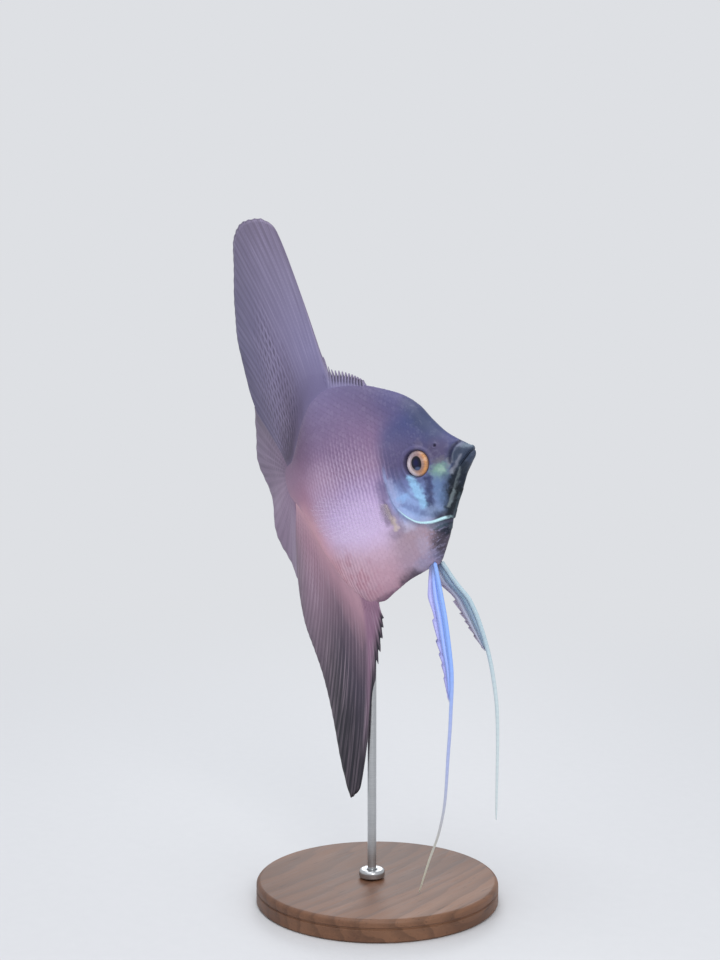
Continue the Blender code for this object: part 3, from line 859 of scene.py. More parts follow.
    # the gill cover's shining lower edge and its fainter rear edge
    low_edge = soft(h, -9.0, -12.6) * soft(near_s, 10.4, 12.0)
    low_glow = soft(abs(behind + 1.2), 1.5, 0.3) * low_edge * soft(s, 13.0, 17.0)
    lay(low_glow * 0.50, 168, 192, 240)
    spot((22.0, -14.6), (2.4, 1.7), 0.40, 204, 208, 236)
    spot((14.4, -12.4), (1.4, 1.1), 0.45, 158, 180, 218)
    width = 0.24 + 0.30 * soft(near_s, 22.0, 15.0)
    lay(soft(abs(behind + 0.40) / width, 1.0, 0.25) * free * low_edge, 206, 246, 255)
    rear_edge = soft(near_h, 3.0, -2.0) * soft(near_h, -12.0, -8.0)
    lay(soft(abs(behind + 0.5), 0.9, 0.2) * rear_edge * 0.55, 158, 174, 220)
    # painted shade on the body just under the gill cover's free edge
    under_edge = free * soft(h, -7.0, -12.0)
    lay(soft(abs(behind - 0.55), 0.6, 0.1) * under_edge * 0.28, 108, 104, 132)
    # painted shade behind the gill cover's edge and round the pectoral fin's foot, and two paler lilac patches
    # on the breast
    stroke((26.9, -3.6), (27.0, -11.4), 1.8, 0.62, 96, 86, 126, soft=0.8)
    spot((26.4, -16.0), (2.2, 1.6), 0.40, 122, 106, 128)
    spot((22.2, -25.8), (2.4, 1.7), 0.60, 166, 156, 184)
    spot((19.6, -20.6), (1.8, 2.6), 0.40, 182, 172, 200)
    stroke((24.6, -11.6), (24.0, -15.0), 0.9, 0.50, 122, 108, 128, soft=0.8)
    # the pectoral fin's yellowish foot with painted shade in the crease behind it, and painted shade in the
    # nostril's pit
    stroke((26.6, -9.4), (26.0, -13.4), 0.9, 0.40, 150, 140, 152, soft=0.9)
    stroke((26.0, -12.4), (25.7, -14.4), 0.8, 0.75, 216, 198, 184, soft=0.9)
    stroke((28.0, -9.0), (27.7, -13.0), 0.9, 0.35, 112, 96, 118, soft=0.9)
    spot(NOSTRIL, (0.40, 0.40), 0.40, 40, 36, 54, soft=0.3, at=(s, h))
    # painted shade in the eye's socket: a dark ring on the skin round the eye
    ring = finish.length(s - float(EYE_PLACE[0]), h - float(EYE_PLACE[2]))
    lay(soft(ring, 3.95, 3.55) * 0.45, 50, 44, 62)


# %% Skin finish
skin_finish = Finish("dusky_lilac_skin", roughness=0.45, coat_roughness=0.25, specular_ior_level=0.20)
body_colour(skin_finish)
place = skin_finish.attribute("fish_place")
fine, mottle = skin_finish.noise(place, 3.2, 4.0, 0.6), skin_finish.noise(place, 0.9, 3.0)
skin_finish.lay(skin_finish.soft(fine, 0.40, 0.80) * 0.12, 60, 56, 82)
skin_finish.lay(skin_finish.soft(mottle, 0.50, 0.80) * 0.07, 200, 206, 232)
skin_finish.paint(roughness=0.40 + 0.2 * fine, coat=0.03 + 0.08 * mottle)
skin_finish.bump(fine, 0.25, 0.00008)
add_piece(skin_mesh, skin_finish, "skin", "head", "upper_jaw", "lower_jaw", "trunk", "tail_stalk")
print(f"skin finish of {len(skin_finish.tree.nodes)} nodes")

# %% [markdown]
# ## Scales
#
# An angelfish's scales are thin round-ended plates in slanting rows. Each is rooted in the skin at its
# front and lies over the two behind it. They could be a bump pattern, but real plates catch the light along
# their free edges and break the outline softly. One plate is made from a small grid: its rear end is
# rounded, its cheeks droop, and an extruded rim gives it a thickness of a twentieth of a millimetre. That
# one plate is then repeated thousands of times as arrays. Every point of each copy asks the skin where it
# lies, so a scale bends with the body under it.

# %% One scale
SCALE_LENGTH = 1.75  # times the distance between rows
SCALE_WIDTH = 1.22
SCALE_THICKNESS = 0.05  # in millimetres, as the lifts are
FRONT_LIFT = -0.04
REAR_LIFT = 0.08


def make_scale():
    """Points (along, across, lift), the faces that join them, and all of it closed."""
    plate = bmesh.new()
    bmesh.ops.create_grid(plate, x_segments=4, y_segments=4, size=0.5)
    for vert in plate.verts:
        along, across = vert.co.x + 0.5, vert.co.y * 2.0
        lift = FRONT_LIFT + (REAR_LIFT - FRONT_LIFT) * along - 0.03 * across * across
        vert.co = (along * (1.0 - 0.26 * across**2), across * (1.0 - 0.38 * along**3), lift)
    top = plate.faces[:]
    grown = bmesh.ops.extrude_face_region(plate, geom=top, use_keep_orig=True)
    lower = [item for item in grown["geom"] if isinstance(item, bmesh.types.BMVert)]
    bmesh.ops.translate(plate, vec=(0.0, 0.0, -SCALE_THICKNESS), verts=lower)
    underside = [item for item in grown["geom"] if isinstance(item, bmesh.types.BMFace)]
    bmesh.ops.dissolve_faces(plate, faces=underside)
    bmesh.ops.recalc_face_normals(plate, faces=plate.faces)
    used = [vert for vert in plate.verts if vert.link_faces]
    number = {vert: index for index, vert in enumerate(used)}
    points = np.array([vert.co[:] for vert in used])
    faces = [[number[vert] for vert in face.verts] for face in plate.faces]
    plate.free()
    return points, faces


scale_points, scale_faces = make_scale()
print(f"one scale has {len(scale_faces)} faces and {len(scale_points)} points")

# %% [markdown]
# Laying a coat: each scale has a root, which is a pair of numbers on its surface, the steps that one
# millimetre makes in that pair along and across the lie, and a size. The bake map gives every scale its own
# tiny patch at its root's place on the unwrapped surface, so its colour is kept apart from its neighbours'.

# %% Lay a coat
BAKE_PATCH = 0.003
tumble = np.random.default_rng(17)


def lay_coat(name, finish, slot, surface, roots, along, across, size, map_places):
    """Joins one copy of the scale per root into a single mesh; surface gives world and straight places."""
    count, each = len(roots), len(scale_points)
    jitter = 1.0 + tumble.uniform(-0.05, 0.05, (count, 1))
    x = scale_points[None, :, 0] * SCALE_LENGTH * size[:, None] * jitter
    y = scale_points[None, :, 1] * SCALE_WIDTH * size[:, None] * 0.5 * 1.3
    lift = scale_points[None, :, 2] * (0.35 + 0.65 * size[:, None])
    places = roots[:, None, :] + x[..., None] * along[:, None, :] + y[..., None] * across[:, None, :]
    points, straight, *on_fin = surface(places.reshape(-1, 2), lift.ravel())

    mesh = bpy.data.meshes.new(name)
    lengths = np.array([len(face) for face in scale_faces])
    corners = np.concatenate([np.array(face) for face in scale_faces])
    all_corners = (corners[None, :] + np.arange(count)[:, None] * each).ravel()
    all_lengths = np.tile(lengths, count)
    mesh.vertices.add(count * each)
    set_places(mesh, points)
    mesh.loops.add(len(all_corners))
    mesh.loops.foreach_set("vertex_index", all_corners.astype(np.int32))
    mesh.polygons.add(len(all_lengths))
    starts = np.concatenate([[0], np.cumsum(all_lengths)[:-1]])
    mesh.polygons.foreach_set("loop_start", starts.astype(np.int32))
    mesh.update(calc_edges=True)
    mesh.validate()

    spots = rows_of(*scale_points[:, :2].T, tumble.uniform(0.0, 1.0, (count, 1)))
    write_vectors(mesh, "scale_place", spots.reshape(-1, 3))
    write_vectors(mesh, "fish_place", straight)
    for fin_places in on_fin:
        write_vectors(mesh, "fin_place", fin_places)
    off, free = gill_edge(straight[:, 0], straight[:, 2])
    write_vectors(mesh, "gill_place", rows_of(off, free, 0.0))
    patch = map_places[:, None, :] + BAKE_PATCH * (spots[..., :2] * (1.0, 0.5) - (0.5, 0.0))
    write_map(mesh, "OFBake", patch.reshape(-1, 2))
    add_piece(mesh, finish, slot)
    mesh.set_sharp_from_angle(angle=math.radians(35.0))
    print(f"{name}: {count} scales, {int((all_lengths - 2).sum())} triangles")


def on_skin(places, lift):
    """World and straight places over the finished skin, for (S, around) pairs."""
    row = np.interp(places[:, 0], STATIONS, np.arange(len(STATIONS)))
    column = np.mod(places[:, 1], 1.0) * ROWS
    spot = blend_rows(skin_spots, row, column)
    normal = blend_rows(skin_normals, row, column)
    straight = spot + normal * lift[:, None]
    return pose(straight), straight


def around_place(s, arc):
    """How far round the right flank a place is that lies arc millimetres above the widest level."""
    up = np.interp(s, TABLE_STATIONS, skin_up)
    down = np.interp(s, TABLE_STATIONS, skin_down)
    reach = np.where(arc > 0.0, up, down)
    return 0.25 + 0.25 * arc / reach, 0.25 / reach


def skin_lattice(first, last, row_pitch, column_pitch, keep):
    """Roots in slanting rows over the right flank where keep(S, H, share of the flank) is above 0."""
    found = []
    for index, s in enumerate(np.arange(first, last, row_pitch)):
        reach = max(np.interp(s, TABLE_STATIONS, skin_up), np.interp(s, TABLE_STATIONS, skin_down))
        arc = (np.arange(-60, 61) + 0.5 * (index % 2)) * column_pitch
        arc = arc[np.abs(arc) < reach]
        around, step = around_place(s, arc)
        inside = (around > 0.004) & (around < 0.496)
        found.append(rows_of(s, around[inside], step[inside]))
    found = np.concatenate(found)
    found[:, 0] += tumble.uniform(-0.04, 0.04, len(found)) * row_pitch
    spots = flesh(found[:, 0], found[:, 1])
    share = np.abs(found[:, 1] - 0.25) / 0.25
    size = keep(spots[:, 0], spots[:, 2], share)
    chosen = size > 0.0
    return found[chosen], size[chosen] * row_pitch


# %% [markdown]
# ### Finish of the scales
#
# Scales take the body's markings and add their own: each is a touch lighter or darker than the next, its
# free edge carries painted shade and the middle of its exposed part a painted pale highlight, most of all on
# the lilac flank. That is what draws the fine upright lines on a living fish.

# %% Scale finish
scale_finish = Finish("lilac_scales", roughness=0.40, coat_roughness=0.22, specular_ior_level=0.22)
body_colour(scale_finish)
soft, lay = scale_finish.soft, scale_finish.lay
s, w, h = scale_finish.split(scale_finish.attribute("fish_place"))
along, across, chance = scale_finish.split(scale_finish.attribute("scale_place"))
rim = soft(along + 0.25 * across * across, 0.80, 1.02)
centre = soft(along, 0.40, 0.62) * soft(along, 0.90, 0.70) * soft(abs(across), 0.9, 0.2)
on_flank = scale_finish.spot(s, h, (41.0, -5.0), (14.0, 14.0), 0.6)
# painted shade along each scale's free edge, and a painted pale highlight in the middle of its exposed part on
# the flank
lay(rim * (0.04 + 0.10 * on_flank), 72, 58, 92)
lay(centre * 0.12 * on_flank, 214, 206, 236)
lay(soft(chance, 0.55, 1.0) * 0.025, 226, 222, 240)
lay(soft(chance, 0.45, 0.0) * 0.05, 64, 56, 84)
# the pored scales of the side line
arch = h - (17.6 - 0.020 * (s - 41.0) * (s - 41.0))
side_line = soft(abs(arch), 0.9, 0.5) * soft(s, 26.0, 28.0) * soft(s, 57.0, 54.0)
pore = soft(abs(across), 0.30, 0.10) * soft(along, 0.35, 0.5) * soft(along, 0.95, 0.8)
lay(side_line * pore * 0.12, 58, 50, 76)
ridges = scale_finish.node("TexWave", {"wave_type": "RINGS", "rings_direction": "SPHERICAL"}, {
    "Vector": scale_finish.join(along, across * 0.5, 0.0), "Scale": 5.0, "Distortion": 0.6, "Detail": 1.0,
})
scale_finish.paint(roughness=0.42 + 0.10 * chance, coat=0.03 + 0.03 * centre)
scale_finish.bump(ridges, 0.08, 0.00002)
print(f"scale finish of {len(scale_finish.tree.nodes)} nodes")

# %% Scales of the trunk and the head
TRUNK_ROW, TRUNK_COLUMN = ROW_PITCH, 1.55
HEAD_ROW, HEAD_COLUMN = 0.80, 1.00


def trunk_size(s, h, share):
    off, free = gill_edge(s, h)
    in_front = (off < 0.25) | ((s < 14.0) & (h > 0.0)) | ((h < -12.0) & (s < 11.5))
    foot = from_line(s, h, (26.6, -8.6), (25.8, -13.0))[0] < 1.5
    size = 1.0 - 0.28 * ease(share, 0.62, 0.98) - 0.30 * ease(s, 56.0, 69.0) - 0.30 * ease(s, 26.0, 14.0)
    return np.where(in_front | foot | (s > 68.8), 0.0, size)


def head_size(s, h, share):
    off, free = gill_edge(s, h)
    ring = from_point(s, h, (EYE_PLACE[0], EYE_PLACE[2]))
    nostril = from_point(s, h, NOSTRIL) < 1.4
    bare = (off > -0.75) | (ring < 4.9) | (s < 9.2 + 0.25 * np.abs(h + 1.0)) | nostril
    cheek_seam = np.abs(from_point(s, h, CHEEK_CENTRE) - CHEEK_REACH) < 0.35
    throat = from_line(s, h, *THROAT)[0] < 2.2
    size = 0.70 + 0.30 * ease(s, 12.0, 22.0) - 0.12 * ease(share, 0.6, 1.0)
    return np.where(bare | throat | (cheek_seam & (h < 6.0)), 0.0, size)


for region, first, last, row, column, keep in (
    ("trunk", 11.5, 69.0, TRUNK_ROW, TRUNK_COLUMN, trunk_size),
    ("head", 8.0, 27.0, HEAD_ROW, HEAD_COLUMN, head_size),
):
    roots, size = skin_lattice(first, last, row, column, keep)
    for side in ("right", "left"):
        around = roots[:, 1] if side == "right" else 1.0 - roots[:, 1]
        spots = rows_of(roots[:, 0], around)
        lie, cross = rows_of(1.0, roots[:, 0] * 0.0), rows_of(0.0, -roots[:, 2])
        lay_coat(
            f"scales_{region}_{side}", scale_finish, "skin", on_skin, spots, lie, cross, size,
            rows_of(roots[:, 0] / MAP_LENGTH, around),
        )

# %% [markdown]
# ## Eyes
#
# A cichlid's eye is a glossy ball in a round socket: a nearly black upright pupil with a dusky rim, then a
# wide iris that is silvery lilac behind, golden orange in front and greyer above, and a narrow dark ring
# where it meets the skin. A ball with its pole turned outward gives rings of faces round the pupil, so the
# clear front can bulge a little over the pupil. The colours read how far each point lies ahead of and above
# the pupil.

# %% Eye balls
EYE_ACROSS, EYE_DEEP = 7.5, 5.7
EYE_FORWARD = math.radians(2.0)
PUPIL_AHEAD = 0.50  # of the ball's pole


def make_eye(side, sign):
    ball = bmesh.new()
    bmesh.ops.create_uvsphere(ball, u_segments=72, v_segments=56, radius=0.5)
    mesh = made_mesh(f"eye_ball_{side}", ball)
    co = get_places(mesh) * (EYE_ACROSS, EYE_ACROSS, EYE_DEEP)
    radius = np.hypot(co[:, 0] - PUPIL_AHEAD, co[:, 1])
    facing = co[:, 2] > 0.0
    co[:, 2] += np.where(facing, 0.14 * hump(radius, 0.0, 1.5) - 0.07 * hump(radius, 2.1, 0.6), 0.0)
    # x of the ball looks ahead and y up; z looks out of the head
    ahead, up, out = co[:, 0], co[:, 1], co[:, 2]
    turn_cos, turn_sin = math.cos(EYE_FORWARD), math.sin(EYE_FORWARD)
    s = EYE_PLACE[0] - (ahead * turn_cos + out * turn_sin)
    w = sign * (EYE_PLACE[1] + out * turn_cos - ahead * turn_sin)
    places = rows_of(s, w, EYE_PLACE[2] + up)
    set_places(mesh, pose(places))
    write_vectors(mesh, "eye_place", co)
    open_edges, volume = close_mesh(mesh)
    add_piece(mesh, eye, "eye", f"eye_{side}")
    print(f"{side} eye: {open_edges} open edges, {volume * 1e9:.0f} mm3")


eye = Finish(
    "glossy_eye", roughness=0.30, coat_roughness=0.03, coat_weight=0.7, coat_ior=1.33, specular_ior_level=0.12
)
soft, lay = eye.soft, eye.lay
ahead, up, out = eye.split(eye.attribute("eye_place"))
radius = eye.math("SQRT", ahead * ahead * 1.12 + up * up)
pupil_across = ahead - PUPIL_AHEAD
pupil_radius = eye.math("SQRT", pupil_across * pupil_across * 1.30 + up * up * 0.76)
threads = eye.noise(eye.join(eye.math("ARCTAN2", up, ahead) * 9.0, radius * 0.7, 0.0), 1.0, 3.0)
cloud = eye.noise(eye.attribute("eye_place"), 0.9, 3.0)
eye.colour = tint(222, 208, 218)
lay(soft(ahead, -1.6, 2.4), 204, 148, 102)
lay(soft(up - ahead * 0.30, 0.8, 3.0) * 0.75, 116, 104, 118)
lay(soft(threads, 0.35, 0.75) * (0.22 + 0.30 * soft(ahead, -1.6, 1.4)), 112, 80, 62)
lay(soft(cloud, 0.5, 0.8) * 0.35, 232, 214, 198)
lay(soft(radius, 2.75, 2.15) * soft(up - ahead * 0.4, 1.8, -0.6) * 0.38, 224, 198, 180)
lay(eye.spot(ahead, up, (1.5, -2.3), (1.8, 0.9)) * 0.6, 226, 158, 90)
lay(soft(radius, 3.10, 3.45) * 0.60, 112, 86, 76)
lay(soft(radius, 3.42, 3.66), 40, 36, 50)
lay(soft(pupil_radius, 2.65, 1.90) * 0.62, 112, 92, 104)
pupil = eye.mix(soft(pupil_radius, 1.5, 0.2) * 0.7, tint(10, 10, 22), tint(20, 22, 78))
eye.colour = eye.mix(soft(pupil_radius, 1.78, 1.50), eye.colour, pupil)
# painted reflection: a small pale blue spot low in the pupil
lay(eye.spot(ahead, up, (PUPIL_AHEAD, -1.45), (0.75, 0.42)) * 0.35, 120, 140, 190)
eye.paint()
eye.bump(threads, 0.15, 0.00005)
for side, sign in SIDES:
    make_eye(side, sign)

# %% [markdown]
# ## Fins
#
# A fin is a thin skin stretched over a fan of rays. The front rays of the back and anal fins are hard
# spines whose tips stand free; the soft rays behind them fork and reach far back. One sheet with a pattern
# would look flat against the light, so the sheet's own thickness carries the rays. A grid is rolled round
# the fin's edge, up one face and down the other, and its vertices stand out where a ray runs and lie close
# together between two rays. At its foot the sheet flares, so that it grows out of the body without a step.

# %% A fin over its rays
FOOT_FLARE = 0.66  # half thickness at the foot, as a share of the body there
FOOT_REACH = 2.3  # how fast it fades, in millimetres
ROW_CROWDING = 1.25  # above 1, the rows lie closer together near the foot


def ridge_width(s, h):
    """Half the body's width near the ridge of its back or belly."""
    level = widest_level(s)
    reach = np.where(h > level, back_height(s) - level, level - belly_height(s))
    share = np.clip(np.abs(h - level) / reach, 0.0, 1.0)
    return half_width(s) * np.sqrt(1.0 - share**2) ** KEEL_SHARPNESS


def foot_and_length(spot, share):
    """Where each ray stands on the straight fish, and how long it is."""
    foot = spot(share, share * 0.0)[0]
    return foot, np.linalg.norm(spot(share, share * 0.0 + 1.0)[0] - foot, axis=1)


def steady(value):
    """A number as a function of a share, as the fins' measures are."""
    return value if callable(value) else lambda share: value + share * 0.0


def fin_shell(name, spot, rays, lengthwise, per_ray, ray_height, film, notch, forks, flare=0.0):
    """A fin's mesh and, for its scales, a grid of all that lies on it. spot(share, t) gives straight places
    and their roots' S; the heights are half thicknesses; notch, ray_height and forks may be numbers."""
    notch, ray_height, forks = (steady(value) for value in (notch, ray_height, forks))
    mesh, columns, rows = grid_mesh(name, rays * per_ray, 2 * lengthwise)
    share = columns / (rays * per_ray)
    front = rows <= lengthwise
    t = np.where(front, rows / lengthwise, 2.0 - rows / lengthwise) ** ROW_CROWDING
    phase = share * rays
    off = np.abs(phase - np.rint(phase))
    part = forks(share) * ease(t, 0.40, 0.95) * 0.17
    ridge = np.maximum(hump(off, part, 0.115), 0.55 * hump(off, 0.0, 0.10) * (part > 0.02))
    cut = notch(share) * np.sin(math.pi * np.clip(off * 2.0, 0.0, 1.0) * 0.5) ** 2
    reach = t * (1.0 - cut * ease(t, 0.15, 1.0))
    shut = np.minimum(ease(t, 1.0, 0.97), ease(np.minimum(share, 1.0 - share), 0.0, 0.004))
    foot_place, ray_length = foot_and_length(spot, share)
    thick = film + (ray_height(share) * (1.0 - 0.68 * t) - film) * ridge
    body = ridge_width(foot_place[:, 0], foot_place[:, 2]) - COAT_DEPTH if flare else 0.0
    thick = (thick + flare * body * np.exp(-t * ray_length / FOOT_REACH)) * shut
    thick = np.where(rows % lengthwise == 0, 0.0, thick)

    def world(share, t):
        place, root = spot(share, t)
        return pose(place, root=root)

    step = 1e-3
    straight, root = spot(share, reach)
    along = world(share, reach + step) - world(share, reach - step)
    wide = world(share + step, reach) - world(share - step, reach)
    normal = np.cross(along, wide)
    normal /= np.maximum(np.linalg.norm(normal, axis=1, keepdims=True), 1e-12)
    out = normal * (thick * np.where(front, MM, -MM))[:, None]
    places = pose(straight, root=root) + out
    set_places(mesh, places)
    write_vectors(mesh, "fin_place", rows_of(phase, t, share))
    tables = [np.zeros((rays * per_ray + 1, 2 * lengthwise + 1, 3)) for _ in range(3)]
    for table_of, values in zip(tables, (places, straight, normal * np.where(front, 1.0, -1.0)[:, None])):
        table_of[columns, rows] = values
    open_edges, volume = close_mesh(mesh)
    print(f"{name}: {len(mesh.polygons)} faces, {open_edges} open edges, {volume * 1e9:.0f} mm3")
    return mesh, (spot, rays, per_ray, lengthwise, *tables)


def fan(root, edge, sweep, ripple=None):
    """A fin's places between its root line and its edge; sweep is how late its rays turn back, but the
    last rays are straight."""

    def spot(share, t):
        foot, tip = root(share), edge(share)
        reach = np.maximum(t, 0.0)[..., None]
        late = sweep - (sweep - 1.0) * ease(share, 0.80, 1.0)[..., None]
        place = foot + (tip - foot) * np.concatenate([reach**late, reach, reach], axis=-1)
        if ripple is not None:
            place[..., 1] += ripple(share, t)
        return place, foot[..., 0]

    return spot


# %% [markdown]
# ### Finish of the fins
#
# The rays are a little paler than the film between them. Toward the rear of the back fin the film has darker
# cells that, with the rays, make a slanting lattice. Soft rays are built of short joints, which show as fine
# bars. The film lets a little light through near the edge.

# %% Fin finishes


def make_fin_finish(
    name, near_root, far_root, ray_tint, dark_tint, cells, film_alpha, spiny=None, webbed=0.0
):
    """near_root and far_root are ramps along a ray, at the fin's front and at its rear; cells are the share
    where the dark cells begin, and their strength; spiny is the share that hard spines take, and the colour
    there; webbed is the share with dark film between them."""
    finish = Finish(name, roughness=0.46, specular_ior_level=0.3)
    soft, lay = finish.soft, finish.lay
    phase, t, share = finish.split(finish.attribute("fin_place"))
    wander = finish.noise(finish.join(phase * 0.35, t * 5.0, 0.0), 1.0, 3.0)
    streak = finish.noise(finish.join(phase * 1.9, t * 2.2, 0.0), 1.0, 3.0)
    depth = t + (wander - 0.5) * 0.14
    rearward = soft(share + (wander - 0.5) * 0.1, 0.38, 0.85)
    finish.colour = finish.mix(rearward, finish.ramp(depth, near_root), finish.ramp(depth, far_root))
    if spiny:
        end, *values = spiny
        lay(soft(share, end + 0.04, end - 0.03) * soft(t, 0.95, 0.45) * 0.85, *values)
    off = finish.off_ray(phase)
    vary = finish.noise(finish.join(phase * 0.6, t * 2.6, 7.0), 1.0, 2.0)
    strength = soft(vary, 0.30, 0.70)
    ray = soft(off, 0.50, 0.05)
    branches = soft(abs(off - 0.36 * soft(t, 0.35, 0.95)), 0.22, 0.02)
    outer = soft(t, 0.08, 0.30)
    lay((ray * 0.12 + branches * 0.20) * outer * strength, *ray_tint)
    lay(soft(off, 0.50, 1.0) * outer * (1.0 - strength) * 0.14, *dark_tint)
    lay(soft(streak, 0.52, 0.78) * outer * 0.35, *ray_tint)
    lay(soft(streak, 0.46, 0.22) * outer * 0.30, *dark_tint)
    # slanting dark cells between the rays
    cell_share, cell_strength = cells
    slant = finish.math("FRACT", t * 17.0 + phase * 0.62 + wander * 1.6)
    cell = soft(abs(slant - 0.5), 0.36, 0.14) * soft(off, 0.20, 0.6)
    where = soft(share + (vary - 0.5) * 0.16, cell_share, cell_share + 0.14)
    where = where * soft(t, 0.06, 0.16) * soft(t, 0.85, 0.50) * soft(streak, 0.30, 0.52)
    lay(cell * where * cell_strength, *dark_tint)
    pale_slant = soft(abs(slant - 0.02), 0.18, 0.03)
    lay(pale_slant * where * cell_strength * 0.6, *ray_tint)
    if webbed:
        web = soft(off, 0.30, 0.70) * soft(share, webbed + 0.05, webbed)
        lay(web * soft(t, 0.15, 0.50) * 0.68, 40, 35, 60)
    lay(soft(share, 0.80, 0.93) * soft(t, 0.30, 0.50) * cell_strength * 0.6, *dark_tint)
    joints = soft(finish.math("SINE", t * 330.0), 0.2, 0.9) * ray * soft(t, 0.1, 0.3)
    lay(joints * 0.10, *dark_tint)
    film = soft(off, 0.35, 0.75) * soft(t, 0.55, 1.0)
    finish.paint(roughness=0.44 + 0.2 * wander, alpha=1.0 - film * (1.0 - film_alpha))
    finish.bump(joints * 0.6 + wander * 0.4, 0.25, 0.00005)
    return finish


dorsal_finish = make_fin_finish(
    "dusky_back_fin",
    [(0.0, 112, 104, 142), (0.25, 132, 126, 162), (0.6, 130, 123, 152), (1.0, 122, 112, 136)],
    [
        (0.0, 104, 90, 122), (0.10, 78, 66, 90), (0.25, 98, 86, 112),
        (0.45, 124, 114, 148), (0.75, 110, 104, 138), (1.0, 104, 100, 132),
    ],
    (172, 162, 196), (62, 54, 82), (0.56, 0.60), 0.94, webbed=0.27,
)
anal_finish = make_fin_finish(
    "dusky_anal_fin",
    [
        (0.0, 194, 154, 170), (0.12, 168, 132, 148), (0.30, 104, 86, 102),
        (0.5, 66, 59, 74), (0.75, 42, 40, 50), (1.0, 34, 33, 42),
    ],
    [
        (0.0, 206, 160, 174), (0.15, 190, 148, 166), (0.35, 170, 132, 152),
        (0.6, 152, 124, 144), (1.0, 116, 100, 116),
    ],
    (196, 174, 190), (52, 42, 56), (0.62, 0.20), 0.94, (0.19, 148, 112, 138),
)
tail_finish = make_fin_finish(
    "clear_dusky_tail",
    [(0.0, 146, 120, 148), (0.4, 156, 134, 160), (1.0, 142, 124, 148)],
    [(0.0, 120, 100, 126), (0.4, 126, 110, 134), (1.0, 124, 112, 134)],
    (158, 142, 166), (84, 72, 94), (0.0, 0.30), 0.88,
)
print("three fin finishes")

# %% Back, anal and tail fins
dorsal_edge = outline((
    (0.0, 29.6, 0.0, 26.4), (0.10, 33.2, 0.0, 28.9), (0.19, 37.0, 0.0, 31.0), (0.275, 40.6, 0.0, 32.8),
    (0.32, 41.9, 0.0, 37.0), (0.355, 49.4, 0.0, 76.5), (0.41, 55.0, 0.0, 80.8), (0.48, 61.5, 0.0, 82.0),
    (0.56, 67.5, 0.0, 79.5), (0.65, 72.5, 0.0, 72.5), (0.75, 79.5, 0.0, 62.0), (0.87, 85.0, 0.0, 50.5),
    (0.95, 85.6, 0.0, 38.4), (1.0, 84.0, 0.0, 30.5),
))
anal_edge = outline((
    (0.0, 40.0, 0.0, -36.5), (0.055, 41.6, 0.0, -41.0), (0.106, 44.2, 0.0, -46.5),
    (0.157, 47.2, 0.0, -52.5), (0.204, 61.0, 0.0, -81.0), (0.28, 65.0, 0.0, -82.8),
    (0.34, 66.5, 0.0, -75.0), (0.44, 67.8, 0.0, -63.0), (0.57, 70.3, 0.0, -51.0), (0.70, 73.2, 0.0, -41.0),
    (0.83, 76.4, 0.0, -31.5), (0.95, 78.0, 0.0, -19.8), (1.0, 75.8, 0.0, -10.8),
))
caudal_edge = outline((
    (0.0, 84.0, -2.4, -21.5), (0.10, 88.5, -2.0, -17.5), (0.28, 91.0, -1.2, -8.0), (0.46, 91.0, -0.5, 2.0),
    (0.62, 91.0, 0.0, 11.0), (0.78, 91.5, 0.2, 20.0), (0.92, 91.0, 0.4, 28.0), (1.0, 87.0, 0.4, 33.5),
))
ROOT_SINK = 1.5  # the fins start inside the ridge of the skin


def ridge_root(first, last, ridge, sink):
    """The root line of a fin that stands on the back's or the belly's ridge, from S to S."""

    def root(share):
        s = first + (last - first) * share
        return rows_of(s, 0.0, ridge(s) - sink)

    return root


def tail_root(share):
    return rows_of(68.0, 0.0, 2.6 + 9.0 * share)


def soft_after(place):
    return lambda share: ease(share, place, place + 0.04)


def median_ripple(size, waves, start):
    return lambda share, t: size * np.sin(share * waves + start + t * 2.0) * np.clip(t, 0.0, 1.0) ** 1.5


back_root = ridge_root(29.5, 67.8, back_height, ROOT_SINK)
belly_root = ridge_root(40.5, 67.2, belly_height, -ROOT_SINK)
dorsal_spot = fan(back_root, dorsal_edge, 1.5, median_ripple(0.7, 11.0, 0.6))
anal_spot = fan(belly_root, anal_edge, 1.6, median_ripple(0.6, 12.0, 2.1))
tail_spot = fan(tail_root, caudal_edge, 1.0, median_ripple(0.8, 16.0, 0.4))
dorsal_mesh, dorsal_grid = fin_shell(
    "back_fin", dorsal_spot, 38, 52, 10, lambda share: 0.22 - 0.12 * ease(share, 0.28, 0.40), 0.075,
    lambda share: 0.34 * ease(share, 0.36, 0.31) + 0.004, soft_after(0.36), FOOT_FLARE,
)
add_piece(dorsal_mesh, dorsal_finish, "fin", "dorsal_fin")
anal_mesh, anal_grid = fin_shell(
    "anal_fin_sheet", anal_spot, 32, 52, 10, lambda share: 0.22 - 0.12 * ease(share, 0.16, 0.26), 0.075,
    lambda share: 0.13 * ease(share, 0.21, 0.15) + 0.004, soft_after(0.2), FOOT_FLARE,
)
add_piece(anal_mesh, anal_finish, "fin", "anal_fin")
tail_mesh, tail_grid = fin_shell("tail_fin", tail_spot, 16, 40, 12, 0.10, 0.065, 0.012, 1.0, FOOT_FLARE * 0.5)
add_piece(tail_mesh, tail_finish, "fin", "caudal_fin")

# %% [markdown]
# ### Scales on the feet of the fins
#
# The body's scales do not stop at the fins: smaller and smaller ones climb the feet of the back, anal and
# tail fins. They are laid like the others, on the finished faces of the fins instead of on the skin.

# %% Scales on the fins' feet
FOOT_ROW, FOOT_COLUMN = 0.78, 0.86


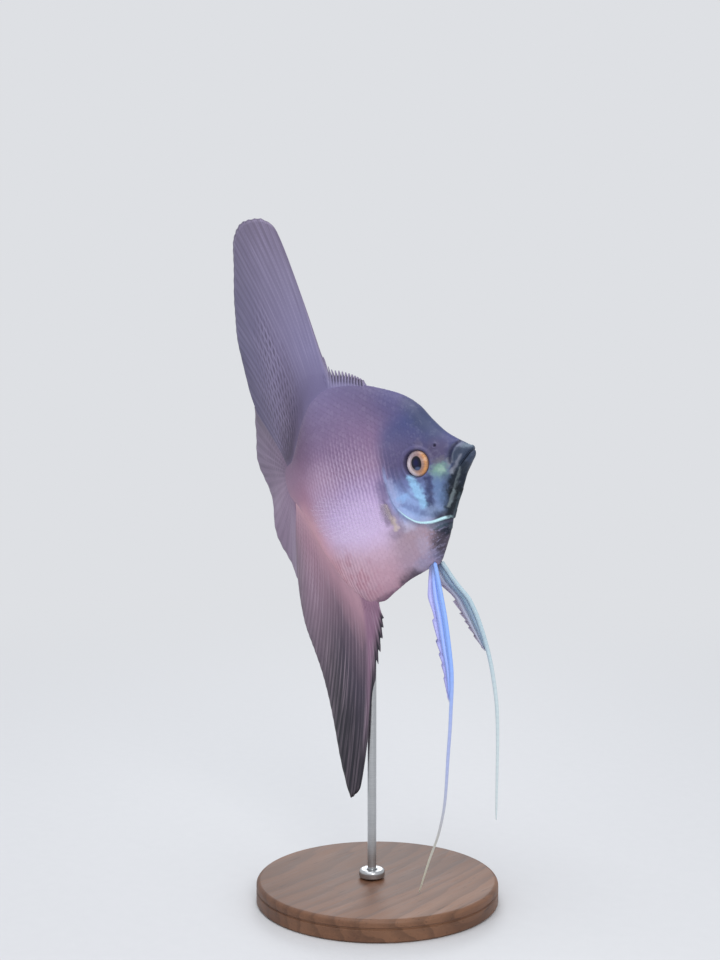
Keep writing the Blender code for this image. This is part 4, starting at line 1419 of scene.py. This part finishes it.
def fin_coat(name, finish, grid, length, height):
    """Scales along the rays of one fin, on both faces, up to height(share) millimetres from its root."""
    spot, rays, per_ray, lengthwise, places_table, straight_table, normal_table = grid
    height = steady(height)
    count = int(length / FOOT_COLUMN)
    # which of the grid's two faces looks to the fish's right
    facing = 1.0 if normal_table[rays * per_ray // 2, lengthwise // 2, 1] < 0.0 else -1.0
    for side, sign in SIDES:

        def on_fin(places, lift):
            t = np.maximum(places[:, 1], 0.0)
            share = np.clip(places[:, 0], 0.0, 1.0)
            column = share * rays * per_ray
            row = t ** (1.0 / ROW_CROWDING)
            row = (row if sign * facing > 0.0 else 2.0 - row) * lengthwise
            normal = blend_rows(normal_table, column, row)
            world = blend_rows(places_table, column, row) + normal * lift[:, None] * MM
            fin_places = rows_of(share * rays, t, share)
            return world, blend_rows(straight_table, column, row), fin_places

        found = []
        for index, rise in enumerate(np.arange(0.9, 20.0, FOOT_ROW)):
            share = (np.arange(count) + 0.5 + 0.5 * (index % 2)) / count
            share = share[(share > 0.01) & (share < 0.985)]
            found.append(rows_of(share, rise))
        found = np.concatenate(found)
        found = found[found[:, 1] < height(found[:, 0])]
        share, rise = found.T
        foot, ray_length = foot_and_length(spot, share)
        size = FOOT_ROW * (1.0 - 0.35 * rise / height(share))
        roots = rows_of(share, rise / ray_length)
        along = rows_of(0.0, 1.0 / ray_length)
        across = rows_of(1.0 / length, share * 0.0)
        flat = rows_of((foot[:, 0] + rise * 0.4) / MAP_LENGTH, 0.5 + sign * rise * 0.012)
        shift = 0.5 if foot[:, 2].mean() < 0.0 else 0.0
        flat[:, 1] = np.mod(flat[:, 1] + shift, 1.0)
        lay_coat(f"scales_{name}_{side}", finish, "fin", on_fin, roots, along, across, size, flat)


fin_coat("back_fin", dorsal_finish, dorsal_grid, 38.0, lambda share: 3.2 + 7.5 * ease(share, 0.15, 0.75))
fin_coat("anal_fin", anal_finish, anal_grid, 34.0, lambda share: 3.2 + 7.0 * ease(share, 0.05, 0.6))
fin_coat("tail_fin", tail_finish, tail_grid, 9.0, 6.0)

# %% [markdown]
# ### Pectoral fins
#
# The pair behind the gill covers is clear as glass; only its fine rays show, with the flank seen through it.

# %% Pectoral fins
glass = Finish("clear_pectoral_film", roughness=0.30, specular_ior_level=0.5)
phase, t, share = glass.split(glass.attribute("fin_place"))
ray = glass.soft(glass.off_ray(phase), 0.40, 0.10)
streak = glass.noise(glass.join(phase * 0.8, t * 3.0, 0.0), 1.0, 3.0)
glass.colour = tint(206, 190, 184)
glass.lay(glass.soft(t, 0.0, 0.25), 206, 192, 218)
glass.lay(ray * 0.4, 226, 216, 238)
foot_part = glass.soft(t, 0.14, 0.0)
glass.paint(roughness=0.30 + 0.2 * streak, alpha=0.03 + 0.06 * ray + 0.22 * foot_part)
glass.bump(streak, 0.2, 0.00005)
PECTORAL_TOP, PECTORAL_LOW = (25.9, 6.35, -8.2), (25.3, 6.0, -12.4)
PECTORAL_EDGE = (
    (0.0, 45.0, 9.6, -2.0), (0.25, 48.5, 10.2, -5.0), (0.5, 48.0, 10.0, -10.0), (0.75, 43.5, 9.2, -14.0),
    (1.0, 35.0, 7.9, -15.6),
)
for side, sign in SIDES:
    edge = outline([(share, s, sign * w, h) for share, s, w, h in PECTORAL_EDGE])

    def root(share, sign=sign):
        share = np.asarray(share, float)[..., None]
        place = np.array(PECTORAL_TOP) * (1.0 - share) + np.array(PECTORAL_LOW) * share
        return place * (1.0, sign, 1.0)

    fanned = fan(root, edge, 1.0, lambda share, t: 0.25 * np.sin(share * 9.0) * t**2)
    mesh, _ = fin_shell(f"pectoral_film_{side}", fanned, 13, 30, 8, 0.11, 0.035, 0.025, 1.0)
    add_piece(mesh, glass, "clear_fin", f"pectoral_fin_{side}")

# %% [markdown]
# ### Pelvic fins and feelers
#
# The pelvic fins hang from the breast. Their first ray is thick at its root and runs on far below as a thin
# flexible feeler, and a few soft rays behind it are folded together like a closed fan. The fan is a fin
# sheet whose rays run down it and end one after the other, so its rear edge is ragged. The feeler is a
# second grid, rolled into a tube along the first ray.

# %% Pelvic fins
BLADE_WIDTH = profile((
    (0.0, 2.2), (0.12, 3.9), (0.25, 4.8), (0.5, 4.6), (0.75, 3.3), (0.92, 2.0), (1.0, 0.8),
))
BLADE_STEPS = 8.0  # its soft rays end one after the other, so the rear edge is ragged
BLADE_RISE = profile(((0.0, -0.5), (0.1, -0.2), (0.25, 0.3), (1.0, 0.35)))
FEELER_WIDTH = profile(((0.0, 0.50), (0.1, 0.50), (0.4, 0.46), (0.7, 0.36), (0.95, 0.24), (1.0, 0.12)))
PELVIC = {  # side: sign, the blade's share of the first ray, its breadth, the first ray
    "right": (1.0, 0.38, 0.88, outline((
        (0.0, 18.6, 1.3, -25.2), (0.08, 17.9, 2.5, -34.2), (0.16, 17.6, 3.4, -41.3),
        (0.27, 17.9, 4.6, -51.7), (0.42, 20.4, 6.1, -64.5), (0.55, 23.2, 7.0, -74.4),
        (0.70, 26.5, 7.8, -85.3), (0.80, 30.0, 8.0, -92.4), (0.90, 35.5, 8.0, -100.0),
        (1.0, 40.5, 8.0, -107.5),
    ))),
    "left": (-1.0, 0.33, 1.22, outline((
        (0.0, 18.4, -1.2, -25.2), (0.06, 16.6, -3.0, -31.4), (0.13, 14.6, -5.0, -37.2),
        (0.22, 14.0, -6.2, -43.6), (0.31, 14.1, -7.2, -49.5), (0.50, 15.6, -8.6, -62.5),
        (0.68, 18.2, -9.0, -73.5), (0.84, 21.3, -9.0, -84.5), (1.0, 24.0, -9.0, -94.0),
    ))),
}


def make_pelvic_finish(name, body, rear, feeler_root, feeler, feeler_tip):
    finish = Finish(name, roughness=0.36, specular_ior_level=0.45)
    soft, lay = finish.soft, finish.lay
    phase, t, share = finish.split(finish.attribute("fin_place"))
    wander = finish.noise(finish.join(phase * 0.9, t * 4.0, 0.0), 1.0, 3.0)
    off = finish.off_ray(phase)
    finish.colour = finish.mix(soft(share, 0.25, 0.9), body, rear)
    lay(soft(off, 0.5, 0.05) * 0.35, 200, 212, 242)
    lay(soft(off, 0.5, 1.0) * 0.18, 96, 110, 180)
    lay(soft(wander, 0.45, 0.8) * 0.35, 176, 168, 214)
    lay(soft(t, 0.10, 0.0) * 0.7, 84, 86, 120)
    along_feeler = finish.mix(soft(t, 0.24, 0.50), feeler_root, feeler)
    along_feeler = finish.mix(soft(t, 0.50, 0.95), along_feeler, feeler_tip)
    finish.colour = finish.mix(soft(phase, -0.6, -1.4), finish.colour, along_feeler)
    joint = soft(finish.math("SINE", t * 260.0), 0.1, 0.9)
    lay(joint * 0.05, 96, 110, 150)
    film = soft(off, 0.35, 0.8) * soft(phase, 0.2, 1.2) * soft(t, 0.1, 0.9)
    finish.paint(roughness=0.32 + 0.16 * wander, alpha=1.0 - film * 0.30)
    finish.bump(joint * 0.4 + wander * 0.6, 0.3, 0.00006)
    return finish


PELVIC_FINISH = {
    "right": make_pelvic_finish(
        "blue_pelvic_fin", tint(140, 176, 246), tint(176, 174, 230), tint(140, 176, 246), tint(168, 180, 224),
        tint(190, 186, 168),
    ),
    "left": make_pelvic_finish(
        "teal_pelvic_fin", tint(146, 174, 190), tint(182, 166, 180), tint(180, 202, 212), tint(200, 216, 220),
        tint(206, 218, 220),
    ),
}


def feeler_tube(name, ray, breadth, steps=150, sides=12):
    """The first ray from its root to its tip, as a closed tube."""
    mesh, rows, columns = grid_mesh(name, steps, sides)
    share = rows / steps
    here, after, before = (pose(ray(at), root=ray(at)[:, 0]) for at in (share, share + 0.004, share - 0.004))
    run = (after - before) / np.linalg.norm(after - before, axis=1, keepdims=True)
    side = np.cross(run, (1.0, 0.0, 0.0))
    side /= np.linalg.norm(side, axis=1, keepdims=True)
    other = np.cross(run, side)
    turn = columns / sides * 2.0 * math.pi
    width = breadth * FEELER_WIDTH(share) * (rows > 0) * (rows < steps) * MM
    places = here + (side * np.cos(turn)[:, None] + other * np.sin(turn)[:, None]) * width[:, None]
    set_places(mesh, places)
    write_vectors(mesh, "fin_place", rows_of(-2.0, share, 0.0))
    open_edges, volume = close_mesh(mesh)
    print(f"{name}: {open_edges} open edges")
    return mesh


def join_meshes(name, meshes):
    whole = bmesh.new()
    for mesh in meshes:
        whole.from_mesh(mesh)
    return made_mesh(name, whole)


for side, (sign, blade, breadth, ray) in PELVIC.items():

    def blade_spot(share, t, ray=ray, blade=blade, sign=sign, breadth=breadth):
        along = np.maximum(t, 0.0) * blade
        place = ray(along)
        step = np.mod(t * BLADE_STEPS + 0.5 * np.sin(t * 9.0), 1.0)
        step = step * ease(share, 0.6, 1.0) * ease(t, 0.2, 0.35)
        wide = BLADE_WIDTH(t) * breadth * share * (1.0 - 0.20 * step)
        fold = sign * 0.42 * np.sin(share * math.pi * 5.0) * ease(t, 0.0, 0.15) * (1.0 - 0.6 * t)
        root = place[..., 0].copy()
        place = place + rows_of(wide, fold, BLADE_RISE(t) * wide)
        return place, root

    sheet, _ = fin_shell(
        f"pelvic_sheet_{side}", blade_spot, 5, 60, 10, lambda share: 0.20 - 0.07 * share, 0.08,
        lambda share: 0.10 * share, 0.0,
    )
    tube = feeler_tube(f"pelvic_feeler_{side}", ray, 1.0 if side == "right" else 1.15)
    joined = join_meshes(f"pelvic_fan_{side}", [sheet, tube])
    add_piece(joined, PELVIC_FINISH[side], "pelvic_fin", f"pelvic_fin_{side}", f"pelvic_thread_{side}")

# %% [markdown]
# ## Stand
#
# A turned walnut disc with a rolled edge and one shallow groove carries a brushed steel rod in a small
# collar, and the rod goes up into the trunk beside the anal fin's root. The solids are plain cylinders. A
# lathe shape is a profile spun round an axis, so the rolled edge and the groove are spun with bmesh, on the
# same axes and to the same sizes. The wood's year rings are drawn round a heart that lies off to one side
# and are bent by a noise, with darker pores along them. The steel's brushing runs round it.

# %% Turned pieces
ROD_PLACE = (-1.0, -1.1)
BASE_RADIUS, BASE_HEIGHT = 33.0, 6.0


def turned(name, outline_points, centre, steps, finish, slot, replaced):
    """A closed shape spun from (radius, height) points that start and end on the axis."""
    shape = bmesh.new()
    verts = [shape.verts.new((r * MM, 0.0, z * MM)) for r, z in outline_points]
    edges = [shape.edges.new(pair) for pair in zip(verts, verts[1:])]
    bmesh.ops.spin(shape, geom=verts + edges, axis=(0.0, 0.0, 1.0), angle=2.0 * math.pi, steps=steps)
    bmesh.ops.remove_doubles(shape, verts=shape.verts, dist=1e-6)
    bmesh.ops.translate(shape, verts=shape.verts, vec=(centre[0] * MM, centre[1] * MM, 0.0))
    mesh = made_mesh(name, shape)
    open_edges, volume = close_mesh(mesh)
    add_piece(mesh, finish, slot, replaced)
    mesh.set_sharp_from_angle(angle=math.radians(40.0))
    print(f"{name}: {len(mesh.polygons)} faces, {open_edges} open edges, {volume * 1e6:.2f} cm3")


def rounded(corner, radius, start, steps):
    """Points of a quarter circle about corner, from an angle in degrees."""
    turns = np.radians(np.linspace(start, start + 90.0, steps + 1))
    return [(corner[0] + radius * math.cos(turn), corner[1] + radius * math.sin(turn)) for turn in turns]


wood = Finish("oiled_walnut", roughness=0.42, specular_ior_level=0.4)
place = wood.object_place()
# the board's heart lies off to one side, so the year rings cross the disc as long uneven arcs
across, lengthwise, upward = wood.split(place)
sway = wood.noise(wood.stretch(place, (22.0, 7.0, 22.0)), 1.0, 2.0) - 0.5
heart_x = across + 0.055 + sway * 0.020 + lengthwise * 0.10
heart_z = upward + 0.030
from_heart = wood.math("SQRT", heart_x * heart_x + heart_z * heart_z + lengthwise * lengthwise * 0.16)
uneven = wood.noise(wood.stretch(place, (90.0, 14.0, 90.0)), 1.0, 3.0)
year = wood.math("FRACT", from_heart * 210.0 + uneven * 2.2)
late_wood = wood.soft(year, 0.35, 0.92) * wood.soft(year, 1.0, 0.94)
shade = wood.noise(wood.stretch(place, (60.0, 9.0, 60.0)), 1.0, 2.0)
fibre = wood.noise(wood.stretch(place, (1500.0, 60.0, 1500.0)), 1.0, 3.0)
pores = wood.noise(wood.stretch(place, (2600.0, 150.0, 2600.0)), 1.0, 2.0)
wood.colour = wood.ramp(shade, [(0.30, 88, 58, 41), (0.50, 104, 70, 50), (0.70, 120, 84, 61)])
wood.lay(late_wood * 0.42, 62, 40, 29)
wood.lay(wood.soft(fibre, 0.40, 0.80) * 0.28, 138, 98, 70)
wood.lay(wood.soft(pores, 0.62, 0.74) * 0.55, 40, 26, 19)
wood.paint(roughness=0.38 + 0.22 * fibre)
wood.bump(fibre * 0.6 - pores * 0.4 + 0.4, 0.3, 0.00012)

steel = Finish("brushed_steel", metallic=1.0, specular_ior_level=0.5)
place = steel.object_place()
brushing = steel.noise(steel.stretch(place, (220.0, 220.0, 9000.0)), 1.0, 3.0)
smear = steel.noise(place, 160.0, 2.0)
steel.colour = tint(176, 178, 180)
steel.lay(steel.soft(brushing, 0.3, 0.7) * 0.5, 204, 205, 206)
steel.lay(steel.soft(smear, 0.5, 0.8) * 0.25, 156, 157, 160)
steel.paint(roughness=0.22 + 0.22 * brushing)
steel.bump(brushing, 0.2, 0.00003)

EDGE_ROLL = 1.2
turned("stand_walnut_disc", [
    (0.0, 0.0), (BASE_RADIUS - 0.5, 0.0), (BASE_RADIUS, 0.5), (BASE_RADIUS, 3.3),
    (BASE_RADIUS - 0.35, 3.55), (BASE_RADIUS - 0.35, 3.85), (BASE_RADIUS, 4.1),
    *rounded((BASE_RADIUS - EDGE_ROLL, BASE_HEIGHT - EDGE_ROLL), EDGE_ROLL, 0.0, 8), (0.0, BASE_HEIGHT),
], (0.0, 0.0), 160, wood, "stand_wood", "stand_base")
rod_profile = [(0.0, 6.1), (1.2, 6.1), (1.2, 99.6), (1.0, 99.95), (0.0, 100.0)]
turned("stand_steel_rod", rod_profile, ROD_PLACE, 40, steel, "stand_steel", "stand_rod")
turned("stand_steel_collar", [
    (1.35, 6.3), (3.2, 6.3), (3.5, 6.6), (3.5, 7.3), *rounded((2.7, 7.7), 0.8, 0.0, 6), (1.9, 8.5),
    (1.35, 8.35), (1.35, 6.3),
], ROD_PLACE, 64, steel, "stand_steel", "stand_collar")
